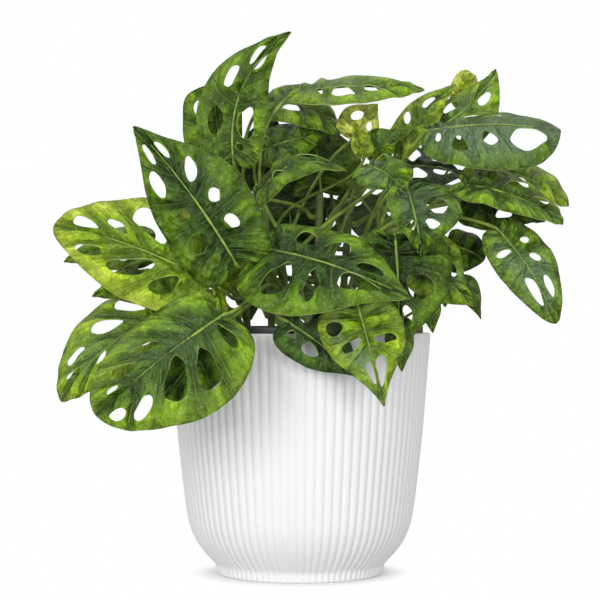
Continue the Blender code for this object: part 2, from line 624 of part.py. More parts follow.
def petiole_rings(blade, points, radii):
    """Four-cornered rings along the petiole, turned like the blade at its base."""
    _, tangent, side, normal = blade.midrib(0.0)
    rings = []
    for k, point in enumerate(points):
        before = points[k - 1] if k else point + tangent * PETIOLE_NECK
        after = points[min(k + 1, len(points) - 1)]
        ahead = (after - before).normalized()
        side = (side - ahead * side.dot(ahead)).normalized()
        normal = side.cross(ahead) if side.cross(ahead).dot(normal) > 0 else ahead.cross(side)
        for across, up in ((1, 1), (-1, 1), (-1, -1), (1, -1)):
            offset = side * across + normal * up
            rings.append(point + offset * radii[k] * math.sqrt(0.5))
    return rings


def build_leaf(leaf, materials):
    """Blade and petiole as one skin: the petiole grows out of the blade's base."""
    blade = Blade(leaf)
    cage, faces, foot = blade_cage(leaf)
    sheet = [blade.point(q, t) for q, t in cage]
    points, faces = thick_sheet(sheet, faces, BLADE_THICKNESS, foot)
    left, right = foot
    last = [left, right, right + len(cage), left + len(cage)]
    line, radii = petiole_line(leaf, blade)
    first = len(points)
    points += petiole_rings(blade, line, radii)
    for k in range(len(line)):
        ring = [first + 4 * k + i for i in range(4)]
        for i in range(4):
            j = (i + 1) % 4
            faces.append((last[i], last[j], ring[j], ring[i]))
        last = ring
    faces.append(tuple(last))
    item = make_object("leaf_" + leaf["name"], points, faces, materials[leaf["tint"]])
    tidy(item)
    return item


def build():
    clear_scene()
    white = make_material("pot_white", (0.86, 0.85, 0.83), 0.6)
    black = make_material("nursery_black", (0.02, 0.02, 0.02), 0.5)
    earth = make_material("soil_brown", (0.06, 0.04, 0.03), 0.95)
    bark = make_material("stem_green", (0.16, 0.27, 0.07), 0.6)
    greens = {
        "bright": make_material("leaf_bright", (0.32, 0.50, 0.09), 0.45),
        "green": make_material("leaf_green", (0.13, 0.30, 0.06), 0.45),
        "deep": make_material("leaf_deep", (0.05, 0.15, 0.04), 0.45),
    }
    build_pot(white)
    build_nursery_pot(black)
    build_soil(earth)
    leaves = [dict(zip(LEAF_FIELDS, row)) for row in LEAVES]
    for index in range(len(STEMS)):
        nodes = [leaf["node"] for leaf in leaves if leaf["stem"] == index]
        build_stem(index, nodes, bark)
    for leaf in leaves:
        build_leaf(leaf, greens)


if __name__ == "__main__":
    build()
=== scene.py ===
import math
import random

import bmesh
import bpy
from mathutils import Matrix, Vector, noise


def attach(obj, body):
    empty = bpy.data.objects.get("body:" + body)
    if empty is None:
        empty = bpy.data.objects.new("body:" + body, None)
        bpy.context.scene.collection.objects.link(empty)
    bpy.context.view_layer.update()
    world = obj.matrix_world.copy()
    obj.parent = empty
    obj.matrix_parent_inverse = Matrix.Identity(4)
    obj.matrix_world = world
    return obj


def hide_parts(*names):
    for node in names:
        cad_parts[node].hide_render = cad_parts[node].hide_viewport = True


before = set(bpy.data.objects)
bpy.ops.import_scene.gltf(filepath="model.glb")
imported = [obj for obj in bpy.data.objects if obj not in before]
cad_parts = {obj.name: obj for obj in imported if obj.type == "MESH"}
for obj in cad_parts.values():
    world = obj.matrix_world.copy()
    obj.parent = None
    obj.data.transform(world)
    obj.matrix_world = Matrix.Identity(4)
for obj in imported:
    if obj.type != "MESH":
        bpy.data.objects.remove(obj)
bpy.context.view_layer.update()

# A potted Swiss cheese vine. Lengths in the dictionaries are in mm, the studio's in metres.
mm = 0.001
noise.seed_set(7)    # without it the noise vectors differ from run to run
print("frame loaded with", len(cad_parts), "nodes")


# Small helpers for meshes

def meshToObject(name, mesh, materials):
    data = bpy.data.meshes.new(name)
    mesh.to_mesh(data)
    mesh.free()
    for material in materials:
        data.materials.append(material)
    data.shade_smooth()
    piece = bpy.data.objects.new(name, data)
    bpy.context.scene.collection.objects.link(piece)
    return piece


def bakeModifiers(piece):    # the evaluated mesh, with its modifiers applied
    graph = bpy.context.evaluated_depsgraph_get()
    data = bpy.data.meshes.new_from_object(piece.evaluated_get(graph))
    piece.modifiers.clear()
    old = piece.data
    piece.data = data
    bpy.data.meshes.remove(old)


def seat(piece, slot, *nodes):
    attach(piece, "root")
    if nodes:
        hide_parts(*nodes)


def smoothStep(low, high, value):
    share = min(1.0, max(0.0, (value - low) / (high - low)))
    return share * share * (3 - 2 * share)


def lerpProfile(profile, height):    # radius of an upward profile at a height
    for (r1, z1), (r2, z2) in zip(profile, profile[1:]):
        if height <= z2:
            return r1 + (r2 - r1) * max(0.0, (height - z1) / (z2 - z1))
    return profile[-1][0]


def roundProfile(points, pieces):    # a Catmull-Rom curve through given points
    path = []
    for i in range(len(points) - 1):
        before = points[max(i - 1, 0)]
        start, end = points[i], points[i + 1]
        after = points[min(i + 2, len(points) - 1)]
        for k in range(pieces):
            s = k / pieces
            spot = []
            for a, b, c, d in zip(before, start, end, after):
                spot.append(0.5 * (2 * b + (c - a) * s + (2 * a - 5 * b + 4 * c - d) * s * s
                                   + (3 * b - a - 3 * c + d) * s ** 3))
            path.append(tuple(spot))
    return path + [points[-1]]


def spinProfile(points, steps):    # turns a radius and height outline round the Z axis
    mesh = bmesh.new()
    verts = [mesh.verts.new((r * mm, 0, z * mm)) for r, z in points]
    edges = [mesh.edges.new(pair) for pair in zip(verts, verts[1:])]
    bmesh.ops.spin(mesh, geom=verts + edges, cent=(0, 0, 0), axis=(0, 0, 1),
                   angle=2 * math.pi, steps=steps, use_merge=True)
    bmesh.ops.remove_doubles(mesh, verts=mesh.verts, dist=0.02 * mm)
    bmesh.ops.recalc_face_normals(mesh, faces=mesh.faces)
    return mesh


def tubeMesh(points, radii, sides):    # a capped round tube along a path
    curve = bpy.data.curves.new("tube", "CURVE")
    curve.dimensions = "3D"
    curve.bevel_depth = mm
    curve.bevel_resolution = sides // 2 - 2
    curve.use_fill_caps = True
    spline = curve.splines.new("POLY")
    spline.points.add(len(points) - 1)
    for spot, point, radius in zip(spline.points, points, radii):
        spot.co = (*point, 1.0)
        spot.radius = radius / mm
    holder = bpy.data.objects.new("tube", curve)
    bpy.context.scene.collection.objects.link(holder)
    bpy.context.view_layer.update()
    data = bpy.data.meshes.new_from_object(holder)
    bpy.data.objects.remove(holder, do_unlink=True)
    bpy.data.curves.remove(curve)
    return data


# Small helpers for materials

def newMaterial(name, **values):
    material = bpy.data.materials.new(name)
    material.use_nodes = True
    shader = material.node_tree.nodes["Principled BSDF"]
    for socket, value in values.items():
        shader.inputs[socket.replace("_", " ")].default_value = value
    return material, material.node_tree, shader


def addNode(tree, kind, settings=(), **inputs):
    node = tree.nodes.new("ShaderNode" + kind)
    for name, value in dict(settings).items():
        setattr(node, name, value)
    for name, value in inputs.items():
        feed(tree, node.inputs[name.replace("_", " ")], value)
    return node


def feed(tree, socket, value):    # links the socket, or sets its number or colour
    if isinstance(value, bpy.types.NodeSocket):
        tree.links.new(value, socket)
    elif value is not None:
        socket.default_value = (*value, 1.0) if socket.type == "RGBA" else value


def readAttribute(tree, name):
    return addNode(tree, "Attribute", {"attribute_name": name}).outputs["Fac"]


def readMap(tree, name):
    return addNode(tree, "UVMap", {"uv_map": name}).outputs[0]


def calc(tree, operation, first, second=None):
    node = addNode(tree, "Math", {"operation": operation})
    feed(tree, node.inputs[0], first)
    feed(tree, node.inputs[1], second)
    return node.outputs[0]


def product(tree, first, second):
    return calc(tree, "MULTIPLY", first, second)


def total(tree, first, second):
    return calc(tree, "ADD", first, second)


def ramp(tree, value, low, high, start=0.0, end=1.0):    # an eased step from start to end
    node = addNode(tree, "MapRange", {"interpolation_type": "SMOOTHSTEP"}, Value=value)
    for name, number in (("From Min", low), ("From Max", high), ("To Min", start), ("To Max", end)):
        node.inputs[name].default_value = number
    return node.outputs[0]


def mixColor(tree, factor, first, second, way="MIX"):
    node = addNode(tree, "Mix", {"data_type": "RGBA", "blend_type": way})
    feed(tree, node.inputs[0], factor)
    feed(tree, node.inputs[6], first)
    feed(tree, node.inputs[7], second)
    return node.outputs[2]


def colorStops(tree, value, stops):
    node = addNode(tree, "ValToRGB", Fac=value)
    marks = node.color_ramp.elements
    while len(marks) < len(stops):
        marks.new(0.5)
    for mark, (place, color) in zip(marks, stops):
        mark.position = place
        mark.color = (*color, 1.0)
    return node.outputs[0]


def noiseField(tree, scale, detail=3.0, roughness=0.55, vector=None):
    if vector is None:
        vector = addNode(tree, "TexCoord").outputs["Object"]
    node = addNode(tree, "TexNoise", Vector=vector, Scale=scale, Detail=detail, Roughness=roughness)
    return node.outputs[0]


def mixShaders(tree, factor, first, second):    # between two shaders, to the output
    node = addNode(tree, "MixShader", Fac=factor)
    tree.links.new(first.outputs[0], node.inputs[1])
    tree.links.new(second.outputs[0], node.inputs[2])
    tree.links.new(node.outputs[0], tree.nodes["Material Output"].inputs[0])


def bump(tree, shader, height, distance, strength):
    node = addNode(tree, "Bump", Height=height, Distance=distance, Strength=strength)
    tree.links.new(node.outputs[0], shader.inputs["Normal"])


# Cover pot: a turned shell with soft pleats all round

pot = {
    "pleats": 84,
    "pleatDepth": 0.9,
    "pleatGroove": 2.0,    # more makes the grooves narrower
    "stepsPerPleat": 8,
    "footFade": (-1.0, 3.0),    # heights between which the pleats begin
    "rimFade": (163.0, 165.0),    # heights between which most of their depth goes
    "rimTop": 164.9,    # no pleats above this
    "skin": 1.2,    # points further in than this are on the inner wall
    "foot": [(0, 0.8), (50.5, 0.8), (52.5, 0.1), (55.6, 0), (56.6, 0.4), (57.2, 1.6), (57.8, 4.5),
             (58.7, 7.4)],
    "body": [(58.7, 7.4), (60.2, 8.9), (65.4, 14.4), (70.7, 21.5), (74.4, 28.9), (76.9, 36.5), (79.1, 49.7),
             (81.6, 70), (84.7, 98), (87.3, 130), (89.7, 160), (90.0, 164.2)],
    "rim": [(90.0, 164.2), (89.7, 165.1), (88.9, 165.5), (87.8, 165.4), (87.0, 164.8), (86.7, 163.6)],
    "inside": [(86.7, 163.6), (74.6, 40), (69.5, 25.5), (61, 13), (52, 3.6), (0, 3.6)],
    "color": (0.77, 0.77, 0.77),
    "cloudColor": (0.755, 0.755, 0.76),
    # painted shade: the pleats' grooves are drawn a little darker
    "paintedGrooveShade": (0.75, 0.75, 0.755),
    "clouds": 14.0,    # texture scales, more is finer
    "grain": 900.0,
    "roughness": (0.46, 0.54),
}


def buildPot():
    outline = pot["foot"] + roundProfile(pot["body"], 4)[1:] + pot["rim"][1:] + pot["inside"][1:]
    mesh = spinProfile(outline, pot["pleats"] * pot["stepsPerPleat"])
    outside = pot["foot"][3:] + pot["body"][1:]
    shade = mesh.verts.layers.float.new("groove")
    for vert in mesh.verts:
        radius = math.hypot(vert.co.x, vert.co.y)
        height = vert.co.z / mm
        if radius / mm < lerpProfile(outside, height) - pot["skin"] or height > pot["rimTop"]:
            continue
        angle = math.atan2(vert.co.y, vert.co.x)
        wave = 0.5 - 0.5 * math.cos(pot["pleats"] * angle + 1.5 * math.pi)
        fade = smoothStep(*pot["footFade"], height) * (1 - 0.8 * smoothStep(*pot["rimFade"], height))
        groove = fade * wave ** pot["pleatGroove"]
        depth = pot["pleatDepth"] * mm * groove
        vert[shade] = groove
        vert.co.x *= (radius - depth) / radius
        vert.co.y *= (radius - depth) / radius
    material, tree, shader = newMaterial("whitePot")
    cloud = ramp(tree, noiseField(tree, pot["clouds"], 2.0), 0.35, 0.65)
    tone = mixColor(tree, cloud, pot["color"], pot["cloudColor"])
    # painted shade darkens the colour in the pleats' grooves
    tone = mixColor(tree, readAttribute(tree, "groove"), tone, pot["paintedGrooveShade"])
    tree.links.new(tone, shader.inputs["Base Color"])
    grain = noiseField(tree, pot["grain"], 2.0)
    bump(tree, shader, grain, 0.04 * mm, 0.35)
    tree.links.new(ramp(tree, grain, 0.3, 0.7, *pot["roughness"]), shader.inputs["Roughness"])
    piece = meshToObject("coverPot", mesh, [material])
    seat(piece, "pot_white", "pot")
    print("cover pot done")


# Nursery pot and soil inside it

nursery = {
    "outline": [(0, 3.8), (49.8, 3.8), (50.6, 4.6), (79.3, 157.2), (79.7, 158.2), (84.4, 159),
                (84.8, 159.6), (85.0, 169.2), (84.8, 169.9), (84.2, 170), (83.7, 169.8), (83.5, 169.2),
                (83.0, 160), (78.5, 158.2), (78.2, 157), (49.4, 5.9), (48.6, 5.4), (0, 5.4)],
    "steps": 144,
    "drains": 4,
    "drainRadius": 5.0,
    "drainCircle": 33.0,
    "floorMiddle": 4.6,
    "drillLength": 4.0,
    "colors": ((0.012, 0.012, 0.013), (0.026, 0.026, 0.027)),
    "grain": 300.0,
    "roughness": 0.5,
}

soil = {
    "bottom": 5.7,
    "bottomRadius": 48.9,
    "top": 156.0,
    "dome": 3.0,
    "topRadius": 77.4,
    "rings": 44,
    "steps": 150,
    "lumps": 1.3,
    "lumpsAbove": 150,    # only the top of the bed is lumpy
    "lumpsWithin": 76.5,
    "grainCircle": 74,
    "crumbs": 330,
    "crumbSizes": (0.7, 2.0),
    "perlite": 70,
    "perliteSizes": (0.7, 1.5),
    "colors": [(0.3, (0.012, 0.008, 0.005)), (0.55, (0.045, 0.028, 0.017)), (0.8, (0.12, 0.08, 0.05))],
    "dampColor": (0.02, 0.014, 0.01),
    "grain": 420.0,
    "patches": 60.0,
    "perliteColors": ((0.45, 0.43, 0.39), (0.75, 0.74, 0.71)),
    "perliteGrain": 700.0,
}


def buildNurseryPot():
    mesh = spinProfile(nursery["outline"], nursery["steps"])
    material, tree, shader = newMaterial("blackPot", Roughness=nursery["roughness"])
    grain = noiseField(tree, nursery["grain"], 3.0)
    tree.links.new(mixColor(tree, grain, *nursery["colors"]), shader.inputs["Base Color"])
    bump(tree, shader, grain, 0.1 * mm, 0.4)
    piece = meshToObject("nurseryPot", mesh, [material])
    cutterMesh = bmesh.new()
    for i in range(nursery["drains"]):
        angle = 2 * math.pi * i / nursery["drains"]
        place = Vector((math.cos(angle), math.sin(angle), 0)) * nursery["drainCircle"] * mm
        place.z = nursery["floorMiddle"] * mm
        radius = nursery["drainRadius"] * mm
        bmesh.ops.create_cone(cutterMesh, cap_ends=True, segments=24, radius1=radius, radius2=radius,
                              depth=nursery["drillLength"] * mm, matrix=Matrix.Translation(place))
    cutter = meshToObject("drainCutter", cutterMesh, [])
    cut = piece.modifiers.new("drains", "BOOLEAN")
    cut.object = cutter
    bakeModifiers(piece)
    bpy.data.objects.remove(cutter, do_unlink=True)
    seat(piece, "nursery_black", "nursery_pot")


def soilTop(radius):
    share = radius / (soil["topRadius"] * mm)
    return (soil["top"] + soil["dome"] * (1 - share * share)) * mm


def scatterGrains(name, count, sizes, material, chance):    # lumpy grains half sunk into the soil
    grains = bmesh.new()
    for _ in range(count):
        radius = soil["grainCircle"] * mm * math.sqrt(chance.random())
        angle = chance.uniform(0, 2 * math.pi)
        size = chance.uniform(*sizes) * mm
        place = Vector((radius * math.cos(angle), radius * math.sin(angle), soilTop(radius) + 0.2 * size))
        shape = Matrix.Diagonal((1, chance.uniform(0.5, 0.9), chance.uniform(0.4, 0.8), 1))
        turn = Matrix.Rotation(chance.uniform(0, 6.28), 4, Vector((chance.random(), chance.random(), 1)))
        made = bmesh.ops.create_icosphere(grains, subdivisions=2, radius=size,
                                          matrix=Matrix.Translation(place) @ turn @ shape)
        for vert in made["verts"]:
            away = vert.co - place
            vert.co = place + away * (1 + 0.35 * noise.noise(vert.co * 900))
    seat(meshToObject(name, grains, [material]), "soil_brown")


def buildSoil():
    radii = [soil["topRadius"] * k / soil["rings"] for k in range(soil["rings"] + 1)]
    outline = [(r, soilTop(r * mm) / mm) for r in radii]
    outline += [(soil["bottomRadius"], soil["bottom"]), (0, soil["bottom"])]
    mesh = spinProfile(outline, soil["steps"])
    for vert in mesh.verts:
        radius = math.hypot(vert.co.x, vert.co.y)
        if vert.co.z < soil["lumpsAbove"] * mm or radius > soil["lumpsWithin"] * mm:
            continue
        lumps = noise.fractal(vert.co * 160, 0.9, 2.2, 5)
        vert.co.z += (lumps - 0.2) * soil["lumps"] * mm
    dark, tree, shader = newMaterial("pottingSoil", Roughness=0.95)
    grain = noiseField(tree, soil["grain"], 6.0, 0.7)
    patches = noiseField(tree, soil["patches"], 3.0)
    tone = colorStops(tree, grain, soil["colors"])
    tone = mixColor(tree, ramp(tree, patches, 0.4, 0.7, 0.0, 0.5), tone, soil["dampColor"])
    tree.links.new(tone, shader.inputs["Base Color"])
    bump(tree, shader, grain, 1.5 * mm, 0.9)
    seat(meshToObject("soilBed", mesh, [dark]), "soil_brown", "soil")

    white, tree, shader = newMaterial("perlite", Roughness=0.9)
    tone = mixColor(tree, noiseField(tree, soil["perliteGrain"]), *soil["perliteColors"])
    tree.links.new(tone, shader.inputs["Base Color"])
    chance = random.Random(41)
    scatterGrains("soilCrumbs", soil["crumbs"], soil["crumbSizes"], dark, chance)
    scatterGrains("soilPerlite", soil["perlite"], soil["perliteSizes"], white, chance)
    print("nursery pot and soil done")


# Vine stems, as in the CAD

stems = {
    "places": [    # foot x, foot y, lean x, lean y and top height
        (-8, -28, -8, -8, 230),
        (32, -28, 12, -6, 232),
        (-36, -10, -12, -4, 232),
        (12, 6, 2, 6, 266),
        (-20, 24, -6, 8, 258),
        (52, 2, 14, -2, 246),
        (30, 38, 6, 10, 250),
    ],
    "radius": 2.7,
    "sides": 12,
    "depth": 24.0,    # how far the stem goes down into the soil
    "ringStep": 1.0,
    "nodeSwell": 0.14,
    "nodeHalf": 2.2,
    "scarDrop": 0.8,    # each leaf's scar is this far below its node
    "scarHalf": 1.1,
    "colors": ((0.055, 0.100, 0.019), (0.175, 0.255, 0.052)),
    "scarColor": (0.14, 0.11, 0.045),
    "streaks": 130.0,
    "leanFrom": 6,    # the stems stand straight up to this far above the soil
    "leanCurve": 1.6,
}


def stemAxis(index, height):
    x, y, leanX, leanY, top = stems["places"][index]
    share = max(0.0, height - soil["top"] - stems["leanFrom"]) / (top - soil["top"])
    lean = share ** stems["leanCurve"]
    return Vector((x + leanX * lean, y + leanY * lean, height)) * mm


def buildStems(leaves):
    material, tree, shader = newMaterial("vineStem", Roughness=0.5)
    streaks = noiseField(tree, stems["streaks"], 4.0)
    skin = mixColor(tree, streaks, *stems["colors"])
    tone = mixColor(tree, product(tree, readAttribute(tree, "scar"), 0.75), skin, stems["scarColor"])
    tree.links.new(tone, shader.inputs["Base Color"])
    bump(tree, shader, streaks, 0.4 * mm, 0.5)
    for index, (_, _, _, _, top) in enumerate(stems["places"]):
        nodes = [leaf["node"] for leaf in leaves if leaf["stem"] == index]
        height = soil["top"] - stems["depth"]
        points, radii = [], []
        while height < top:
            near = min(abs(height - node) for node in nodes)
            knot = math.exp(-(near / stems["nodeHalf"]) ** 2)
            share = smoothStep(top - 4, top + 1, height)
            points.append(stemAxis(index, height))
            radii.append(stems["radius"] * mm * (0.94 + stems["nodeSwell"] * knot) * (1 - 0.55 * share))
            height += stems["ringStep"]
        mesh = bmesh.new()
        mesh.from_mesh(tubeMesh(points, radii, stems["sides"]))
        scar = mesh.verts.layers.float.new("scar")
        for vert in mesh.verts:
            near = min(abs(vert.co.z / mm - node + stems["scarDrop"]) for node in nodes)
            vert[scar] = math.exp(-(near / stems["scarHalf"]) ** 2)
        piece = meshToObject("vineStem%d" % (index + 1), mesh, [material])
        seat(piece, "stem_green", "stem_%d" % (index + 1))
    print("stems done")
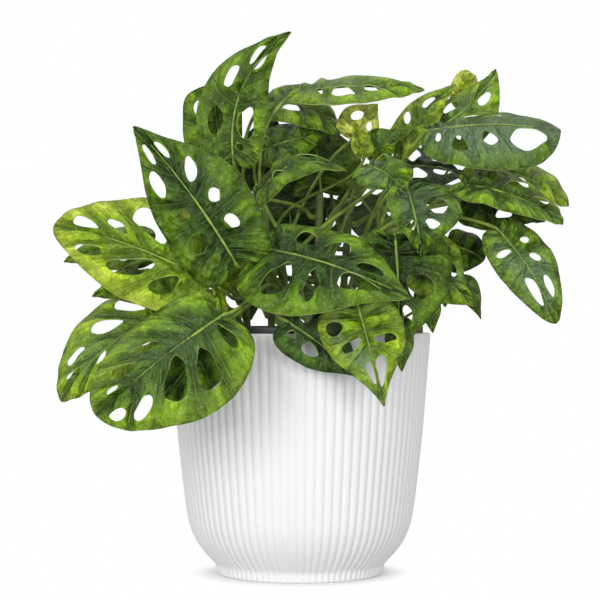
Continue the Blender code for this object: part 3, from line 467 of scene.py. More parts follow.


# Leaves. Each row repeats the leaf's numbers in the CAD and adds its tone: the body, from 0, old and dark,
# to 1, young and yellow, which on the inner leaves that sit in shade is also painted shade and on the
# backlit leaf 22 painted light; how much lighter the margin is; and how much painted sheen, a reflection of
# the lights off the waxy top, it has.

leafFields = ("name", "tint", "form", "base", "tip", "facing", "halves", "curve", "left", "right",
              "stem", "node", "bend", "tone")
leafRows = [
    ("01", "green", "egg", (-46, -10, 284), (-6, -20, 371), (-0.45, -0.85, 0.15), (28, 26),
     (0.04, 0.16, 0.1, 0.12, 0), "-MMM", "SB-M", 4, 243, (0, 0, 0), (0.36, 0.17, 0.15)),
    ("02", "deep", "blunt", (-55, 22, 287), (-61, 20, 340), (-0.2, -0.9, 0.3), (26, 18),
     (0.05, 0, 0.05, 0.12, 0), "s-m", "-ms", 2, 216, (-7, 0, -7), (0.49, 0.06, 0.15)),
    ("03", "green", "egg", (-42, -88, 212), (-110, -62, 302), (-0.3, -0.85, 0.4), (32, 33),
     (0.06, -0.03, -0.1, 0.1, 0), "SMSRR", "-SSNM", 0, 195, (-7, 0, 7), (0.2, 0.29, 0.1)),
    ("04", "bright", "swept", (-50, -72, 194), (-163, -56, 237), (-0.15, -0.8, 0.55), (38, 46),
     (0.1, 0, 0.1, 0.15, 0), "UMLR-", "--LSM", 2, 177, (0, 0, 0), (0.59, 0.3, 0)),
    ("05", "green", "round", (-50, -110, 177), (-127, -132, 115), (-0.15, -0.85, 0.45), (48, 36),
     (0.05, 0, -0.05, 0.15, 0), "TLLRR", "--SMS", 0, 186, (0, 0, 0), (0.32, 0.33, 0.25)),
    ("06", "green", "swept", (-71, -67, 183), (-156, -72, 121), (-0.35, -0.7, 0.6), (32, 39),
     (0.1, -0.06, 0.05, 0.15, 0), "UMMS-", "-MMRS", 2, 168, (0, 0, 0), (0.54, 0.2, 0.4)),
    ("07", "bright", "egg", (-21, -74, 221), (70, -116, 188), (0.08, -0.8, 0.6), (33, 50),
     (0.06, 0, 0.05, 0.15, 0), "-MMN", "-LNB", 0, 204, (0, 0, 0), (0.19, 0.37, 0.07)),
    ("08", "bright", "slim", (36, -108, 186), (53, -118, 120), (0.05, -0.95, 0.3), (25, 27),
     (0.06, 0, -0.05, 0.15, 0), "--NB", "-RNM", 1, 177, (0, 0, 0), (0.55, 0.2, 1)),
    ("09", "deep", "egg", (-7, -96, 173), (39, -98, 138), (0.1, -0.9, 0.4), (24, 19),
     (0.05, 0, -0.05, 0.1, 0), "m-s", "sm-", 0, 168, (0, 0, 0), (0.22, 0.06, 0.3)),
    ("10", "deep", "egg", (62, -78, 229), (63, -98, 154), (0.1, -0.9, 0.35), (38, 26),
     (0.08, 0, -0.05, 0.15, 0), "--LM", "----", 1, 207, (0, 0, 0), (0.11, 0.36, 0.05)),
    ("11", "green", "egg", (67, -78, 176), (66, -82, 141), (0.1, -0.9, 0.3), (7, 11),
     (0.05, 0, -0.05, 0.1, 0), "--", "--", 1, 168, (0, 0, 0), (0.52, 0.1, 0.6)),
    ("12", "green", "broad", (133, -48, 234), (170, -52, 172), (0.25, -0.9, 0.3), (21, 20),
     (0.06, 0.03, -0.05, 0.12, 0), "-SSM", "-N-B", 1, 225, (0, 0, 0), (0.43, 0.15, 0.9)),
    ("13", "green", "broad", (109, -45, 265), (175, -50, 238), (0.1, -0.58, 0.8), (30, 20),
     (0.1, 0, 0.05, 0.15, 0), "-MMM", "----", 5, 213, (0, 0, 0), (0.34, 0.27, 0.25)),
    ("14", "deep", "broad", (130, -12, 277), (185, -8, 253), (0.2, -0.6, 0.75), (26, 20),
     (0.12, 0, 0, 0.12, 0), "---", "-m-", 6, 216, (0, 0, 0), (0.58, 0.22, 0.2)),
    ("15", "green", "blunt", (88, -30, 303), (175, -42, 301), (0, -0.6, 0.8), (35, 37),
     (0.06, 0, -0.32, 0.1, 0), "S-M-", "SMSB", 6, 207, (0, 0, 0), (0.28, 0.2, 1)),
    ("16", "green", "egg", (89, 9, 305), (137, 14, 350), (-0.05, -0.85, 0.5), (14, 27),
     (0.05, -0.12, 0, 0.12, 0), "MM-", "MLM", 1, 198, (0, -7, 7), (0.54, 0.16, 0.5)),
    ("17", "bright", "blunt", (114, 28, 324), (122, 30, 349), (0, -0.8, 0.4), (9, 9),
     (0.1, 0.1, 0.3, 0.1, 0), "--", "--", 6, 198, (14, 14, 0), (0.87, 0.23, 0)),
    ("18", "bright", "egg", (67, 10, 293), (109, 13, 339), (-0.3, -0.8, 0.5), (14, 18),
     (0.08, 0, 0.25, 0.1, 0), "MNM", "---", 0, 213, (7, -7, 0), (0.62, 0.22, 0.4)),
    ("19", "bright", "broad", (-2, -12, 331), (85, -20, 331), (0, -0.42, 0.9), (26, 28),
     (0.05, 0, 0, 0.15, 0), "-----", "-SLMS", 4, 198, (-14, -14, 0), (0.5, 0.14, 0.5)),
    ("20", "deep", "broad", (-24, 15, 326), (28, 12, 304), (0, -0.6, 0.75), (26, 22),
     (0.2, 0, 0, 0.12, 0), "---", "-m-", 2, 207, (-7, -7, 0), (0.53, 0.06, 0.4)),
    ("21", "deep", "broad", (-27, 5, 292), (15, 5, 303), (0, -0.7, 0.6), (20, 20),
     (0.08, 0, 0, 0.12, 0), "s--", "---", 3, 201, (0, 0, 0), (0.42, 0.05, 0.4)),
    ("22", "bright", "egg", (36, 6, 300), (54, 9, 325), (0.2, -0.9, 0.3), (17, 12),
     (0.06, 0, 0.15, 0.1, 0), "-M", "-S", 4, 207, (-7, 0, 7), (1, 0.1, 0)),
    ("23", "deep", "egg", (46, -2, 288), (71, -4, 305), (0.1, -0.8, 0.5), (12, 12),
     (0.06, 0, 0.1, 0.1, 0), "--", "--", 3, 210, (0, 0, 0), (0.52, 0.06, 0.6)),
    ("24", "bright", "slim", (43, -18, 285), (37, -16, 308), (0.3, -0.9, 0.2), (9, 9),
     (0.04, 0, 0.6, 0.1, 0), "--", "--", 4, 234, (-7, -7, 0), (0.77, 0.12, 0.5)),
    ("25", "green", "broad", (46, -35, 279), (70, -62, 260), (0, -0.7, 0.6), (20, 19),
     (0.08, 0, 0, 0.12, 0), "m--", "---", 3, 228, (0, 0, 0), (0.39, 0.14, 0.6)),
    ("26", "deep", "egg", (70, -75, 260), (79, -85, 215), (0.25, -0.85, 0.4), (34, 16),
     (0.08, 0, 0.05, 0.12, 0), "-BM-", "M-M-", 5, 222, (-12, -12, -12), (0.22, 0.29, 0.55)),
    ("27", "green", "egg", (79, -58, 230), (116, -66, 184), (0.15, -0.85, 0.45), (20, 26),
     (0.08, -0.12, 0, 0.12, 0), "-LM-", "N---", 1, 216, (0, 0, 0), (0.47, 0.22, 0.8)),
    ("28", "deep", "slim", (107, -42, 204), (121, -44, 175), (0.15, -0.9, 0.3), (8, 7),
     (0.06, 0, 0, 0.1, 0), "--", "m-", 5, 168, (14, 0, -14), (0.45, 0.05, 0.5)),
    ("29", "deep", "broad", (100, -30, 226), (125, -32, 216), (0.1, -0.8, 0.5), (16, 20),
     (0.06, 0, 0, 0.1, 0), "--", "--", 5, 198, (0, 0, 0), (0.26, 0.07, 0)),
    ("30", "deep", "egg", (111, -22, 256), (166, -28, 241), (0.1, -0.8, 0.55), (20, 22),
     (0.08, 0, 0, 0.12, 0), "-mm-", "--m-", 5, 237, (0, 0, 0), (0.2, 0.12, 0.07)),
    ("31", "bright", "broad", (-30, -40, 255), (32, -40, 274), (0, -0.4, 0.9), (20, 20),
     (0.26, 0, 0, 0.15, 0), "s-m", "-s-", 0, 222, (0, 0, 0), (0.31, 0.23, 0)),
    ("32", "deep", "egg", (-27, 21, 267), (-20, 28, 321), (0, -0.85, 0.45), (25, 25),
     (0.05, 0, 0, 0.12, 0), "---", "-m-", 3, 246, (0, 0, 0), (0.13, 0.07, 0.14)),
    ("33", "deep", "egg", (15, 28, 265), (8, 35, 322), (0.1, -0.85, 0.4), (25, 30),
     (0.05, 0, 0, 0.12, 0), "-m-", "---", 3, 258, (0, 0, 0), (0.3, 0.08, 0.2)),
    ("34", "deep", "egg", (-102, -22, 225), (-161, -20, 214), (-0.2, -0.7, 0.65), (21, 21),
     (0.08, 0, 0, 0.12, 0), "-m-", "---", 2, 198, (0, 0, 0), (0.5, 0.07, 0)),
    ("35", "deep", "egg", (-77, -52, 204), (-138, -54, 190), (-0.3, -0.7, 0.6), (23, 23),
     (0.08, 0, 0, 0.12, 0), "---", "-m-", 2, 186, (0, 0, 0), (0.5, 0.07, 0)),
    ("43", "deep", "broad", (-48, -98, 173), (-89, -110, 120), (-0.15, -0.88, 0.42), (24, 22),
     (0.05, 0, 0, 0.12, 0), "---", "---", 0, 177, (0, 0, 0), (0.34, 0.1, 0.1)),
    ("44", "deep", "egg", (82, -67, 197), (87, -69, 166), (0.2, -0.85, 0.4), (8, 10),
     (0.08, 0, 0, 0.12, 0), "--", "--", 1, 186, (0, 0, 0), (0.52, 0.12, 0.5)),
    ("36", "green", "broad", (-62, 8, 238), (-92, 22, 230), (-0.3, -0.1, 0.95), (20, 20),
     (0.12, 0, 0.05, 0.15, 0), "s-", "m-", 2, 225, (0, 0, 0), (0.27, 0.12, 0.14)),
    ("37", "green", "egg", (-30, 62, 276), (-56, 128, 306), (-0.2, -0.1, 0.95), (29, 29),
     (0.1, 0, 0.05, 0.15, 0), "mlm", "sml", 4, 252, (0, 0, 0), (0.4, 0.21, 0.21)),
    ("38", "green", "egg", (22, 64, 282), (40, 142, 262), (0.1, 0.5, 0.85), (31, 31),
     (0.12, 0, 0.05, 0.15, 0), "mlm", "lms", 6, 234, (0, -10, 0), (0.42, 0.18, 0.3)),
    ("39", "bright", "egg", (70, 48, 268), (136, 92, 250), (0.4, 0.4, 0.8), (29, 29),
     (0.1, 0, 0.05, 0.15, 0), "lmm", "slm", 6, 243, (14, -14, 0), (0.18, 0.24, 0.07)),
    ("40", "green", "egg", (76, 46, 212), (108, 98, 184), (0.55, 0.45, 0.65), (27, 27),
     (0.1, 0, 0.05, 0.15, 0), "mlm", "lms", 6, 189, (0, 0, 0), (0.34, 0.21, 0.21)),
    ("41", "green", "egg", (0, 86, 204), (10, 142, 142), (0.1, 0.8, 0.6), (29, 29),
     (0.08, 0, 0, 0.15, 0), "slm", "mml", 6, 174, (0, 0, 0), (0.51, 0.16, 0.21)),
    ("42", "bright", "egg", (-48, 74, 203), (-72, 136, 146), (-0.35, 0.7, 0.65), (28, 28),
     (0.1, 0, 0.05, 0.15, 0), "lms", "mlm", 4, 177, (0, 7, -7), (0.38, 0.27, 0.07)),
    ("45", "green", "egg", (-38, 44, 236), (-36, 74, 174), (-0.1, 0.75, 0.6), (24, 24),
     (0.08, 0, 0.05, 0.15, 0), "m-m", "sm-", 4, 225, (0, 0, 0), (0.44, 0.14, 0.2)),
    ("46", "green", "egg", (62, 26, 282), (120, 44, 276), (0.2, -0.65, 0.75), (25, 25),
     (0.1, 0, 0.05, 0.15, 0), "mls", "-ml", 3, 219, (0, 0, 0), (0.05, 0.17, 0.3)),
    ("47", "deep", "egg", (-5, 36, 230), (-12, 56, 291), (-0.05, -0.88, 0.45), (17, 26),
     (0.06, 0, 0.05, 0.15, 0), "---", "---", 4, 216, (0, 0, 0), (0.16, 0.08, 0.2)),
    ("48", "green", "egg", (44, 49, 262), (76, 92, 206), (0.4, 0.6, 0.7), (25, 25),
     (0.08, 0, 0.05, 0.15, 0), "m-m", "-ml", 3, 237, (0, 0, 0), (0.18, 0.18, 0.2)),
    ("49", "green", "egg", (-74, 44, 214), (-106, 68, 186), (-0.6, 0.3, 0.75), (24, 24),
     (0.1, 0, 0.05, 0.15, 0), "-ms", "m-m", 4, 186, (0, 0, 0), (0.32, 0.19, 0.21)),
    ("50", "deep", "egg", (10, 54, 258), (12, 104, 204), (-0.08, 0.75, 0.65), (26, 25),
     (0.08, 0, 0.05, 0.15, 0), "s-m", "-m-", 6, 225, (0, 0, 0), (0.3, 0.08, 0.1)),
]

blades = {
    "forms": {    # narrowing, drawn out tip, lean of the side veins, how far the last one moves to the tip
        "egg": (1.6, 0.50, 0.0, 0.0),
        "broad": (1.2, 0.20, 0.0, 0.0),
        "swept": (1.2, 0.20, 0.6, 0.06),
        "slim": (1.9, 0.60, 0.0, 0.0),
        "round": (1.0, 0.18, 0.6, 0.07),
        "blunt": (0.75, 0.0, 0.0, 0.08),
    },
    "sweep": 1.6,
    "lobe": 0.16,
    "lobeScale": 1.93,    # brings the peak of the lobe's curve to 1
    "lobeEnd": 0.07,
    "firstVein": 0.17,
    "lastVein": {2: 0.74, 3: 0.80, 4: 0.85, 5: 0.87},
    "veinBow": 1.35,
    "ripple": 0.07,    # how far the blade's surface rises and falls, and how often
    "ripples": 9.0,
    "wave": 0.045,    # the same for the margin's width
    "waves": 13.0,
    "thickness": 0.55,
    "halfTip": 0.6,
    "fullSize": 20,    # blades with a half narrower than this have less relief and thinner petioles
    "holes": {    # start, end, half width and room along the blade, as in the CAD
        "T": (0.12, 0.62, 0.15, 2.0),
        "U": (0.12, 0.38, 0.12, 2.0),
        "B": (0.14, 0.74, 0.38, 1.5),
        "L": (0.13, 0.80, 0.32, 1.2),
        "M": (0.20, 0.70, 0.28, 1.0),
        "N": (0.15, 0.80, 0.18, 0.8),
        "R": (0.50, 0.86, 0.34, 0.9),
        "S": (0.22, 0.55, 0.21, 0.8),
        "-": (0, 0, 0, 0.8),
    },
    "holeJitter": 0.05,
    "holeWidest": (0.36, 0.74),
    "holeGrow": 1.13,    # rounding shrinks a hole by as much
    "inset": 0.985,      # keeps the smooth margin inside the CAD's straight edges
    "quilt": 2.4,        # how far the blade puffs up between its side veins
    "groove": 1.2,       # depth of the midrib's groove
    "grooveHalf": 1.6,
    "dents": 1.2,
    "dentsPerMetre": 60,
    "folds": 2.6,        # creases that run along the side veins
    "ends": (0.12, 0.85),    # the relief is full between these shares of the blade
    "warp": 1.6,         # how irregular the holes are
    "warpsPerMetre": 95,
    "fineFrom": 22,      # blades with a half wider than this get the finer mesh
}

petioles = {
    "radius": 1.5,
    "neckRadius": 1.15,
    "neck": 2.4,
    "start": 2.4,    # from the stem's axis to the petiole's end
    "knee": 5.8,     # and to the point where it turns up
    "clear": 3.3,    # what the stem takes off the petiole's reach
    "joint": 0.12,    # swelling just under the blade
    "sheath": 0.3,    # and at the stem
    "steps": 22,
    "sides": 10,
    "ribSteps": 16,
    "ribDrop": 0.35,    # how far the rib hangs under the blade's middle
    "ribThinnest": 0.2,
}


def readLeaf(row):
    leaf = dict(zip(leafFields, row))
    leaf["base"] = Vector(leaf["base"]) * mm
    leaf["tip"] = Vector(leaf["tip"]) * mm
    leaf["facing"] = Vector(leaf["facing"]).normalized()
    leaf["halves"] = [width * mm for width in leaf["halves"]]
    leaf["arch"], leaf["sway"], leaf["fold"], leaf["droop"], leaf["twist"] = leaf["curve"]
    leaf["small"] = min(1.0, max(leaf["halves"]) / (blades["fullSize"] * mm))
    leaf["taper"], leaf["drip"], leaf["lean"], leaf["reach"] = blades["forms"][leaf["form"]]
    leaf["phase"] = 1.7 * int(leaf["name"])
    chord = leaf["tip"] - leaf["base"]
    along = chord.normalized()
    up = (leaf["facing"] - along * leaf["facing"].dot(along)).normalized()
    side = up.cross(along)
    middle = (leaf["base"] + leaf["tip"]) / 2
    leaf["crest"] = middle + (up * 2 * leaf["arch"] + side * 2 * leaf["sway"]) * chord.length
    leaf["length"] = chord.length
    leaf["peak"] = eggWidth(leaf, 1 / (leaf["taper"] + 1))
    return leaf


def eggWidth(leaf, share):
    return math.sqrt(share) * (1 - share) ** (leaf["taper"] / 2)


def midrib(leaf, share):    # point, tangent, side and normal of the midrib
    inside = min(1.0, max(0.0, share))
    first = leaf["crest"] - leaf["base"]
    second = leaf["tip"] - leaf["crest"]
    point = leaf["base"] + first * 2 * inside + (second - first) * inside * inside
    tangent = (first + (second - first) * inside) * 2
    point += tangent * (share - inside)
    tangent.normalize()
    normal = (leaf["facing"] - tangent * leaf["facing"].dot(tangent)).normalized()
    normal = Matrix.Rotation(leaf["twist"] * inside, 3, tangent) @ normal
    return point, tangent, normal.cross(tangent), normal


def pressFlat(leaf, q, t):    # the pressed leaf: along in blade lengths, across in metres
    u = 0.5 * math.pi * q
    egg = math.sin(u) ** 2
    lobe = blades["lobeScale"] * math.sin(2 * u) * math.cos(u) ** 4
    edge = egg - blades["lobe"] * leaf["small"] ** 2 * lobe
    half = leaf["halves"][t < 0] * eggWidth(leaf, min(egg, 1.0)) / leaf["peak"]
    half *= 1 - leaf["drip"] * smoothStep(0.5, 1.0, egg)
    half *= 1 + blades["wave"] * math.sin(blades["waves"] * q + leaf["phase"] + 2.0 * (t < 0))
    half += blades["halfTip"] * mm * (1 - 0.6 * smoothStep(0.5, 1.0, q))
    rib = q ** (blades["sweep"] + leaf["lean"] * smoothStep(0.0, 0.3, q))
    return rib + (edge - rib) * abs(t) ** (blades["veinBow"] - 0.4 * leaf["lean"]), half * t


def bladePoint(leaf, q, t):
    share, across = pressFlat(leaf, q, t * blades["inset"])
    place, _, side, normal = midrib(leaf, share)
    across /= math.sqrt(1 + leaf["fold"] ** 2)
    curl = leaf["droop"] * across * across / leaf["halves"][t < 0]
    wave = blades["ripple"] * math.sin(blades["ripples"] * q + 2.0 * t + leaf["phase"])
    height = abs(across) * (leaf["fold"] + wave * t * t * smoothStep(0.0, 0.2, q)) - curl
    return place + side * across + normal * (height + relief(leaf, q, t, across))


def endFade(q):    # no relief at the blade's base and tip
    start, end = blades["ends"]
    return smoothStep(0.0, start, q) * (1 - smoothStep(end, 1.0, q))


def pleats(leaf, q, t):    # cells puffed up between the side veins, with creases along them
    wide = abs(t)
    cell = 0.5 - 0.5 * math.cos(2 * math.pi * veinPhase(leaf, q))
    puff = blades["quilt"] * cell * smoothStep(0.0, 0.25, wide) * (1 - 0.7 * smoothStep(0.7, 1.0, wide))
    crease = Vector((2.6 * veinPhase(leaf, q), 1.5 * t, 3.1 * leaf["phase"]))
    creases = blades["folds"] * noise.noise(crease) * smoothStep(0.05, 0.3, wide)
    return (puff + creases * (1 - 0.6 * smoothStep(0.75, 1.0, wide))) * leaf["small"] * endFade(q)


def relief(leaf, q, t, across):    # the pleats with a grooved midrib and soft dents
    groove = blades["groove"] * math.exp(-(across / (blades["grooveHalf"] * mm)) ** 2)
    scale = blades["dentsPerMetre"]
    spot = Vector((q * leaf["length"] * scale, across * scale, leaf["phase"]))
    dents = blades["dents"] * (noise.noise(spot) + 0.4 * noise.noise(spot * 2.7))
    dents *= 1 - 0.6 * smoothStep(0.75, 1.0, abs(t))
    return (pleats(leaf, q, t) + (dents - groove) * leaf["small"] * endFade(q)) * mm


def cellBreaks(leaf):    # where the side veins leave the midrib
    first = blades["firstVein"]
    last = blades["lastVein"][len(leaf["left"])] + leaf["reach"]
    pairs = zip(leaf["left"].upper(), leaf["right"].upper())
    rooms = [max(blades["holes"][kind][3] for kind in pair) for pair in pairs]
    breaks = [first]
    for room in rooms:
        breaks.append(breaks[-1] + (last - first) * room / sum(rooms))
    return breaks


def veinPhase(leaf, q):    # whole numbers fall on side veins
    breaks = cellBreaks(leaf)
    cell = sum(q > mark for mark in breaks[1:-1])
    return cell + (q - breaks[cell]) / (breaks[cell + 1] - breaks[cell])


def holeCorners(kind, low, high, chance):
    start, end, half, _ = blades["holes"][kind.upper()]
    start += chance.uniform(-blades["holeJitter"], blades["holeJitter"])
    end += chance.uniform(-blades["holeJitter"], blades["holeJitter"])
    near, far = [start + share * (end - start) for share in blades["holeWidest"]]
    middle = 0.5 * (low + high)
    reach = half * (high - low)
    corners = {("low", "in"): (middle - reach, near), ("low", "out"): (middle - reach, far),
               ("mid", "in"): (middle, start), ("mid", "out"): (middle, end),
               ("high", "in"): (middle + reach, near), ("high", "out"): (middle + reach, far)}
    heart = Vector((middle, 0.5 * (start + end)))
    return {key: heart + (Vector(spot) - heart) * blades["holeGrow"] for key, spot in corners.items()}


def bladeSheet(leaf):    # a grid from base to tip with its holes, in blade coordinates
    breaks = cellBreaks(leaf)
    rows = [0.0, blades["lobeEnd"], breaks[0]]
    for low, high in zip(breaks, breaks[1:]):
        rows += [0.5 * (low + high), high]
    rows += [0.5 * (breaks[-1] + 1), 1.0]
    sheet = bmesh.new()
    bmesh.ops.create_grid(sheet, x_segments=len(rows) - 1, y_segments=2, size=1.0)
    for vert in sheet.verts:
        row = round((vert.co.x + 1) / 2 * (len(rows) - 1))
        vert.co = (rows[row], round(vert.co.y), 0)
    chance = random.Random("cage " + leaf["name"])
    for sign, kinds in ((1, leaf["left"]), (-1, leaf["right"])):
        for k, kind in enumerate(kinds):
            if kind == "-":
                continue
            low, high = breaks[k], breaks[k + 1]
            corners = holeCorners(kind, low, high, chance)
            inCell = []
            for face in sheet.faces:
                x, y, _ = face.calc_center_median()
                if low < x < high and y * sign > 0:
                    inCell.append(face)
            cell = bmesh.utils.face_join(inCell)
            bmesh.ops.inset_individual(sheet, faces=[cell], thickness=0.02)
            for vert in cell.verts:
                outer = [edge.other_vert(vert) for edge in vert.link_edges
                         if edge.other_vert(vert) not in cell.verts][0]
                row = "low" if abs(outer.co.x - low) < 1e-4 else "high"
                if abs(outer.co.x - 0.5 * (low + high)) < 1e-4:
                    row = "mid"
                q, t = corners[row, "out" if abs(outer.co.y) > 0.5 else "in"]
                vert.co = (q, t * sign, 0)
            bmesh.ops.delete(sheet, geom=[cell], context="FACES_ONLY")
    return sheet


def warped(leaf, q, t):    # pushes the sheet about a little, so that no two holes are alike
    scale = blades["warpsPerMetre"]
    spot = Vector((q * leaf["length"] * scale, t * leaf["halves"][t < 0] * scale, 5.7 * leaf["phase"]))
    push = noise.noise_vector(spot) * blades["warp"] * mm
    push *= smoothStep(0.0, 0.2, abs(t)) * (1 - smoothStep(0.85, 1.0, abs(t))) * smoothStep(0.0, 0.2, q)
    push *= 1 - smoothStep(0.9, 1.0, q)
    return q + push.x / leaf["length"], t + push.y / leaf["halves"][t < 0]


def shapeBlade(leaf, piece):    # bends the flat sheet to its place and writes its maps
    sheet = bmesh.new()
    sheet.from_mesh(piece.data)
    for vert in sheet.verts:
        vert.co.xy = warped(leaf, *vert.co.xy)
    veinMap = sheet.loops.layers.uv.new("veins")
    netMap = sheet.loops.layers.uv.new("net")
    body = sheet.verts.layers.float.new("bodyTone")
    margin = sheet.verts.layers.float.new("marginTone")
    paintedSheen = sheet.verts.layers.float.new("paintedSheen")
    height = sheet.verts.layers.float.new("relief")
    for face in sheet.faces:
        for loop in face.loops:
            q, t = loop.vert.co.xy
            along, across = pressFlat(leaf, q, t)
            loop[veinMap].uv = (veinPhase(leaf, q), t)
            loop[netMap].uv = (along * leaf["length"] + 0.1 * leaf["phase"], across)
    for vert in sheet.verts:
        q, t = vert.co.xy
        vert[body], vert[margin], vert[paintedSheen] = leaf["tone"]
        vert[height] = pleats(leaf, q, t)
        vert.co = bladePoint(leaf, q, t)
    sheet.to_mesh(piece.data)
    sheet.free()


def petiolePath(leaf):    # from the blade's midrib over its base and down to the stem
    axis = stemAxis(leaf["stem"], leaf["node"])
    place, tangent, _, normal = midrib(leaf, 0.0)
    back = petioles["neck"] * mm * (0.4 + 0.6 * leaf["small"])
    neck = place - tangent * back - normal * 0.25 * back
    toward = neck - axis
    out = Vector((toward.x, toward.y, 0)).normalized()
    start = axis + out * petioles["start"] * mm
    reach = (neck - axis).length - petioles["clear"] * mm
    steer = Vector(leaf["bend"]) * mm
    knee = axis + out * petioles["knee"] * mm
    first = neck - (tangent * 0.7 + normal * 0.5).normalized() * 0.3 * reach + steer
    second = knee + (out * 0.2 + Vector((0, 0, 0.35))) * reach + steer
    scale = (0.5 + 0.5 * leaf["small"]) * mm
    points, radii = [], []
    for k in range(petioles["ribSteps"]):    # the rib under the blade, thinning to the tip
        share = 0.9 * (1 - k / petioles["ribSteps"])
        spot, _, _, normal = midrib(leaf, share)
        radius = petioles["neckRadius"] * scale * (1 - share) ** 0.8
        points.append(spot - normal * (petioles["ribDrop"] * mm + 0.55 * radius))
        radii.append(max(radius, petioles["ribThinnest"] * mm))
    for k in range(petioles["steps"]):
        s = k / (petioles["steps"] - 1)
        r = 1 - s
        points.append(neck * r ** 3 + first * 3 * r * r * s + second * 3 * r * s * s + knee * s ** 3)
        joint = petioles["joint"] * math.exp(-((s - 0.07) / 0.05) ** 2)
        sheath = petioles["sheath"] * smoothStep(0.82, 1.0, s)
        width = petioles["neckRadius"] + (petioles["radius"] - petioles["neckRadius"]) * s
        radii.append(width * scale * (1 + joint + sheath))
    return points + [start], radii + [radii[-1]]


def buildLeaf(leaf, finishes):
    name = "leaf" + leaf["name"]
    sheet = meshToObject(name, bladeSheet(leaf), [])
    rounding = sheet.modifiers.new("rounding", "SUBSURF")
    fine = max(leaf["halves"]) > blades["fineFrom"] * mm
    rounding.levels = rounding.render_levels = 3 if fine else 2
    rounding.boundary_smooth = "PRESERVE_CORNERS"
    bakeModifiers(sheet)
    shapeBlade(leaf, sheet)
    body = sheet.modifiers.new("thickness", "SOLIDIFY")
    body.thickness = blades["thickness"] * mm
    body.offset = 0
    body.material_offset = 1
    body.material_offset_rim = 2
    for material in finishes:
        sheet.data.materials.append(material)
    bakeModifiers(sheet)

    mesh = bmesh.new()
    mesh.from_mesh(sheet.data)
    blade = set(mesh.faces)
    mesh.from_mesh(tubeMesh(*petiolePath(leaf), petioles["sides"]))
    for face in mesh.faces:
        if face not in blade:
            face.material_index = 3
    bpy.data.objects.remove(sheet, do_unlink=True)
    piece = meshToObject(name, mesh, finishes)
    seat(piece, "leaf_" + leaf["tint"], "leaf_" + leaf["name"])


# Leaf finishes

leafColors = {
    "stops": [(0.0, (0.006, 0.020, 0.001)), (0.25, (0.031, 0.080, 0.002)), (0.5, (0.115, 0.222, 0.005)),
              (0.7, (0.225, 0.372, 0.010)), (0.85, (0.390, 0.525, 0.019)), (1.0, (0.700, 0.780, 0.135))],
    "vein": (0.22, 0.35, 0.075),
    "veinUnder": (0.24, 0.32, 0.12),
    "veinWidth": (0.015, 0.05),    # a vein's core and edge, in shares of a cell or of half the blade
    "net": (0.6, 0.75, 0.35),
    "netCells": 340.0,
    "pale": (0.21, 0.32, 0.105),    # the underside
    "margin": ((0.17, 0.25, 0.04), (0.42, 0.53, 0.14)),
    "petiole": ((0.100, 0.170, 0.018), (0.23, 0.35, 0.042)),
    "roughness": (0.26, 0.42),
    "underRoughness": 0.6,
    "shine": 0.38,
    "paintedSheen": (0.20, 0.30, 0.175),    # painted sheen: the grey-blue reflection of the lights on some leaves' waxy tops
    "sheenPatches": 26.0,    # texture scales, more is finer
    "blotches": 38.0,
    "flecks": 240.0,
    "bubbles": 230.0,
    "streaks": (4.0, 2.2, 1.0),    # along and across the blade
    "edgeGrain": 120.0,
    "petioleStreaks": 90.0,
    "petioleGrain": 700.0,
    "crinkle": 11.0,    # soft relief in mm that only the shading shows
    "reliefSpan": (-1.2, 3.0),    # mm, from the hollows to the crests
    # painted shade in the relief's hollows and painted light on its crests, as a shift of tone
    "reliefShadeTone": (-0.05, 0.05),
    "reliefShade": (0.60, 1.36),    # painted shade and light: factors on the colour, hollows to crests
    # the same painted shade and light for the bump's streaks and bubbles, low sides to crests
    "streakShade": (0.78, 1.24),
    "bubbleShade": (1.20, 0.77),
    "glow": 0.16,    # how much light comes through the blade
    "glowTint": (0.30, 0.42, 0.01),
}


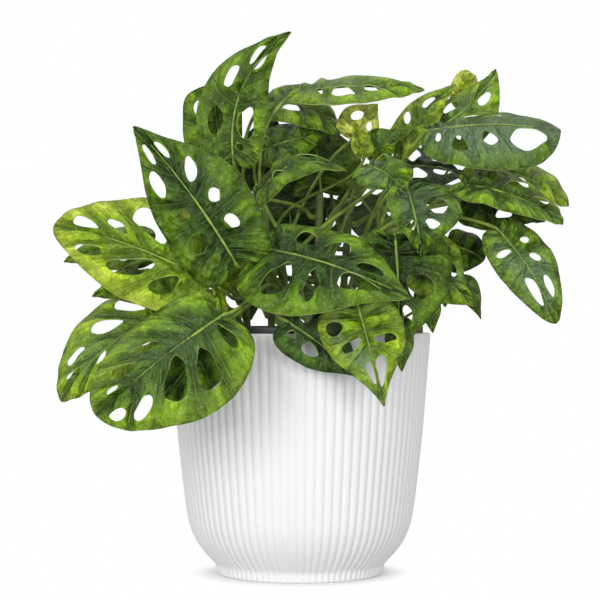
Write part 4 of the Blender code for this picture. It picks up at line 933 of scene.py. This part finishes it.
def leafMaterial(name, top):
    material, tree, shader = newMaterial(name)
    veinMap, netMap = readMap(tree, "veins"), readMap(tree, "net")
    split = addNode(tree, "SeparateXYZ", Vector=veinMap)
    phase, across = split.outputs[0], calc(tree, "ABSOLUTE", split.outputs[1])
    blotches = noiseField(tree, leafColors["blotches"], 4.0)
    flecks = noiseField(tree, leafColors["flecks"], 3.0)
    relief = readAttribute(tree, "relief")
    stretched = addNode(tree, "Mapping", Vector=veinMap, Scale=leafColors["streaks"]).outputs[0]
    streaks = noiseField(tree, 1.0, 1.5, 0.45, stretched)
    bubbles = addNode(tree, "TexVoronoi", {"feature": "SMOOTH_F1"}, Scale=leafColors["bubbles"],
                      Vector=netMap).outputs["Distance"]
    # tone from the middle to the margin, on each leaf's body tone, with painted shade in the relief's
    # hollows, painted light on its crests, and blotches
    edge = product(tree, ramp(tree, across, 0.25, 1.0), readAttribute(tree, "marginTone"))
    tone = total(tree, readAttribute(tree, "bodyTone"), edge)
    tone = total(tree, tone, ramp(tree, relief, *leafColors["reliefSpan"], *leafColors["reliefShadeTone"]))
    tone = total(tree, tone, ramp(tree, blotches, 0.3, 0.7, -0.025, 0.025))
    color = colorStops(tree, tone, leafColors["stops"])
    # painted shade and light: the colour is darker in the hollows of the relief, streaks and bubbles and
    # lighter on their crests
    shade = ramp(tree, relief, *leafColors["reliefSpan"], *leafColors["reliefShade"])
    shade = product(tree, shade, ramp(tree, streaks, 0.3, 0.7, *leafColors["streakShade"]))
    shade = product(tree, shade, ramp(tree, bubbles, 0.1, 0.8, *leafColors["bubbleShade"]))
    color = mixColor(tree, 1.0, color, shade, "MULTIPLY")
    # painted reflection: grey-blue patches of sheen, fading towards the margin
    paintedSheen = ramp(tree, noiseField(tree, leafColors["sheenPatches"], 2.0), 0.35, 0.6)
    paintedSheen = product(tree, readAttribute(tree, "paintedSheen"), paintedSheen)
    paintedSheen = product(tree, paintedSheen, ramp(tree, across, 0.5, 0.95, 1.0, 0.2))
    color = mixColor(tree, product(tree, paintedSheen, 0.6), color, leafColors["paintedSheen"])
    # side veins at whole numbers of the phase, and the midrib
    offset = calc(tree, "FRACT", total(tree, phase, 0.5))
    offset = calc(tree, "ABSOLUTE", calc(tree, "SUBTRACT", offset, 0.5))
    side = ramp(tree, offset, *leafColors["veinWidth"], 1.0, 0.0)
    side = product(tree, side, ramp(tree, across, 0.75, 0.95, 1.0, 0.0))
    veins = calc(tree, "MAXIMUM", side, ramp(tree, across, *leafColors["veinWidth"], 1.0, 0.0))
    # fine net between them
    net = addNode(tree, "TexVoronoi", {"feature": "DISTANCE_TO_EDGE"}, Scale=leafColors["netCells"],
                  Vector=netMap).outputs["Distance"]
    net = ramp(tree, net, 0.0, 0.14, 1.0, 0.0)
    if top:
        color = mixColor(tree, product(tree, net, 0.16), color, leafColors["net"], "SOFT_LIGHT")
        color = mixColor(tree, product(tree, veins, 0.25), color, leafColors["vein"])
        height = total(tree, product(tree, net, -0.35), product(tree, veins, -1.0))
        tree.links.new(ramp(tree, blotches, 0.3, 0.7, *leafColors["roughness"]), shader.inputs["Roughness"])
        shader.inputs["Specular IOR Level"].default_value = leafColors["shine"]
    else:
        color = mixColor(tree, 0.45, color, leafColors["pale"])
        color = mixColor(tree, product(tree, veins, 0.6), color, leafColors["veinUnder"])
        height = total(tree, product(tree, net, 0.35), product(tree, veins, 1.0))
        shader.inputs["Roughness"].default_value = leafColors["underRoughness"]
    height = product(tree, total(tree, height, product(tree, flecks, 0.5)), 0.12)
    folds = calc(tree, "SUBTRACT", product(tree, streaks, 0.7), product(tree, bubbles, 0.5))
    bump(tree, shader, total(tree, height, folds), leafColors["crinkle"] * mm, 0.9)
    tree.links.new(color, shader.inputs["Base Color"])
    glow = addNode(tree, "BsdfTranslucent", Color=mixColor(tree, 0.4, color, leafColors["glowTint"]))
    mixShaders(tree, leafColors["glow"], shader, glow)
    return material


def edgeMaterial():
    material, tree, shader = newMaterial("leafEdge", Roughness=0.5)
    tone = mixColor(tree, noiseField(tree, leafColors["edgeGrain"]), *leafColors["margin"])
    tree.links.new(tone, shader.inputs["Base Color"])
    return material


def petioleMaterial():
    material, tree, shader = newMaterial("petiole", Roughness=0.42)
    streaks = ramp(tree, noiseField(tree, leafColors["petioleStreaks"], 4.0), 0.35, 0.65)
    tone = mixColor(tree, streaks, *leafColors["petiole"])
    tree.links.new(tone, shader.inputs["Base Color"])
    bump(tree, shader, noiseField(tree, leafColors["petioleGrain"], 2.0), 0.1 * mm, 0.4)
    return material


# Studio: pale floor, soft light and the photo's camera

studio = {
    "floorSize": 8.0,
    "floorColor": (0.80, 0.80, 0.80),
    "floorGlow": 0.53,
    "sky": (0.42, 1.10),    # brightness at the horizon and overhead
    "floorFade": (0.050, 0.078),    # metres from the middle over which the floor turns plain white
    "lamps": [    # name, place, size and power
        ("keyLight", (-1.0, -1.8, 0.6), 1.1, 22.6),
        ("frontFill", (0.8, -1.9, 0.42), 0.8, 13.4),
    ],
    "cameraPlace": (0.0, -1.3, 0.175),
    "cameraPitch": 0.58,
    "cameraLens": 112.7,    # mm, like the sensor
    "cameraSensor": 36.0,
    "aim": (0.0, 0.0, 0.19),
}


def addLamp(name, place, size, power):
    lamp = bpy.data.lights.new(name, "AREA")
    lamp.shape = "DISK"
    lamp.size = size
    lamp.energy = power
    holder = bpy.data.objects.new(name, lamp)
    holder.location = place
    toward = Vector(studio["aim"]) - Vector(place)
    holder.rotation_euler = toward.to_track_quat("-Z", "Y").to_euler()
    bpy.context.scene.collection.objects.link(holder)


def buildFloor():
    mesh = bmesh.new()
    bmesh.ops.create_grid(mesh, x_segments=2, y_segments=2, size=studio["floorSize"] / 2)
    material, tree, shader = newMaterial("paleFloor", Roughness=0.9)
    feed(tree, shader.inputs["Base Color"], studio["floorColor"])
    away = addNode(tree, "VectorMath", {"operation": "LENGTH"})
    tree.links.new(addNode(tree, "TexCoord").outputs["Object"], away.inputs[0])
    seen = addNode(tree, "LightPath").outputs["Is Camera Ray"]
    white = addNode(tree, "Emission", Strength=ramp(tree, seen, 0.0, 1.0, studio["floorGlow"], 1.0))
    mixShaders(tree, ramp(tree, away.outputs["Value"], *studio["floorFade"]), shader, white)
    floor = meshToObject("floor", mesh, [material])


def buildWorld():
    world = bpy.data.worlds.new("studio")
    world.use_nodes = True
    tree = world.node_tree
    seen = addNode(tree, "LightPath").outputs["Is Camera Ray"]
    height = addNode(tree, "SeparateXYZ", Vector=addNode(tree, "TexCoord").outputs["Generated"]).outputs[2]
    sky = ramp(tree, height, 0.0, 1.0, *studio["sky"])
    tree.links.new(calc(tree, "MAXIMUM", sky, seen), tree.nodes["Background"].inputs[1])
    tree.nodes["Background"].inputs[0].default_value = (1, 1, 1, 1)
    bpy.context.scene.world = world
    bpy.context.scene.view_settings.view_transform = "Standard"


def addCamera():
    scene = bpy.context.scene
    camera = bpy.data.objects.new("camera", bpy.data.cameras.new("camera"))
    camera.data.lens = studio["cameraLens"]
    camera.data.sensor_width = studio["cameraSensor"]
    camera.location = studio["cameraPlace"]
    camera.rotation_euler = (math.radians(90 + studio["cameraPitch"]), 0, 0)
    scene.collection.objects.link(camera)
    scene.camera = camera


leaves = [readLeaf(row) for row in leafRows]
buildPot()
buildNurseryPot()
buildSoil()
buildStems(leaves)
finishes = [leafMaterial("leafTop", True), leafMaterial("leafUnder", False), edgeMaterial(),
            petioleMaterial()]
for leaf in leaves:
    buildLeaf(leaf, finishes)
print("leaves done")
buildFloor()
for lamp in studio["lamps"]:
    addLamp(*lamp)
buildWorld()
addCamera()
print("studio done")
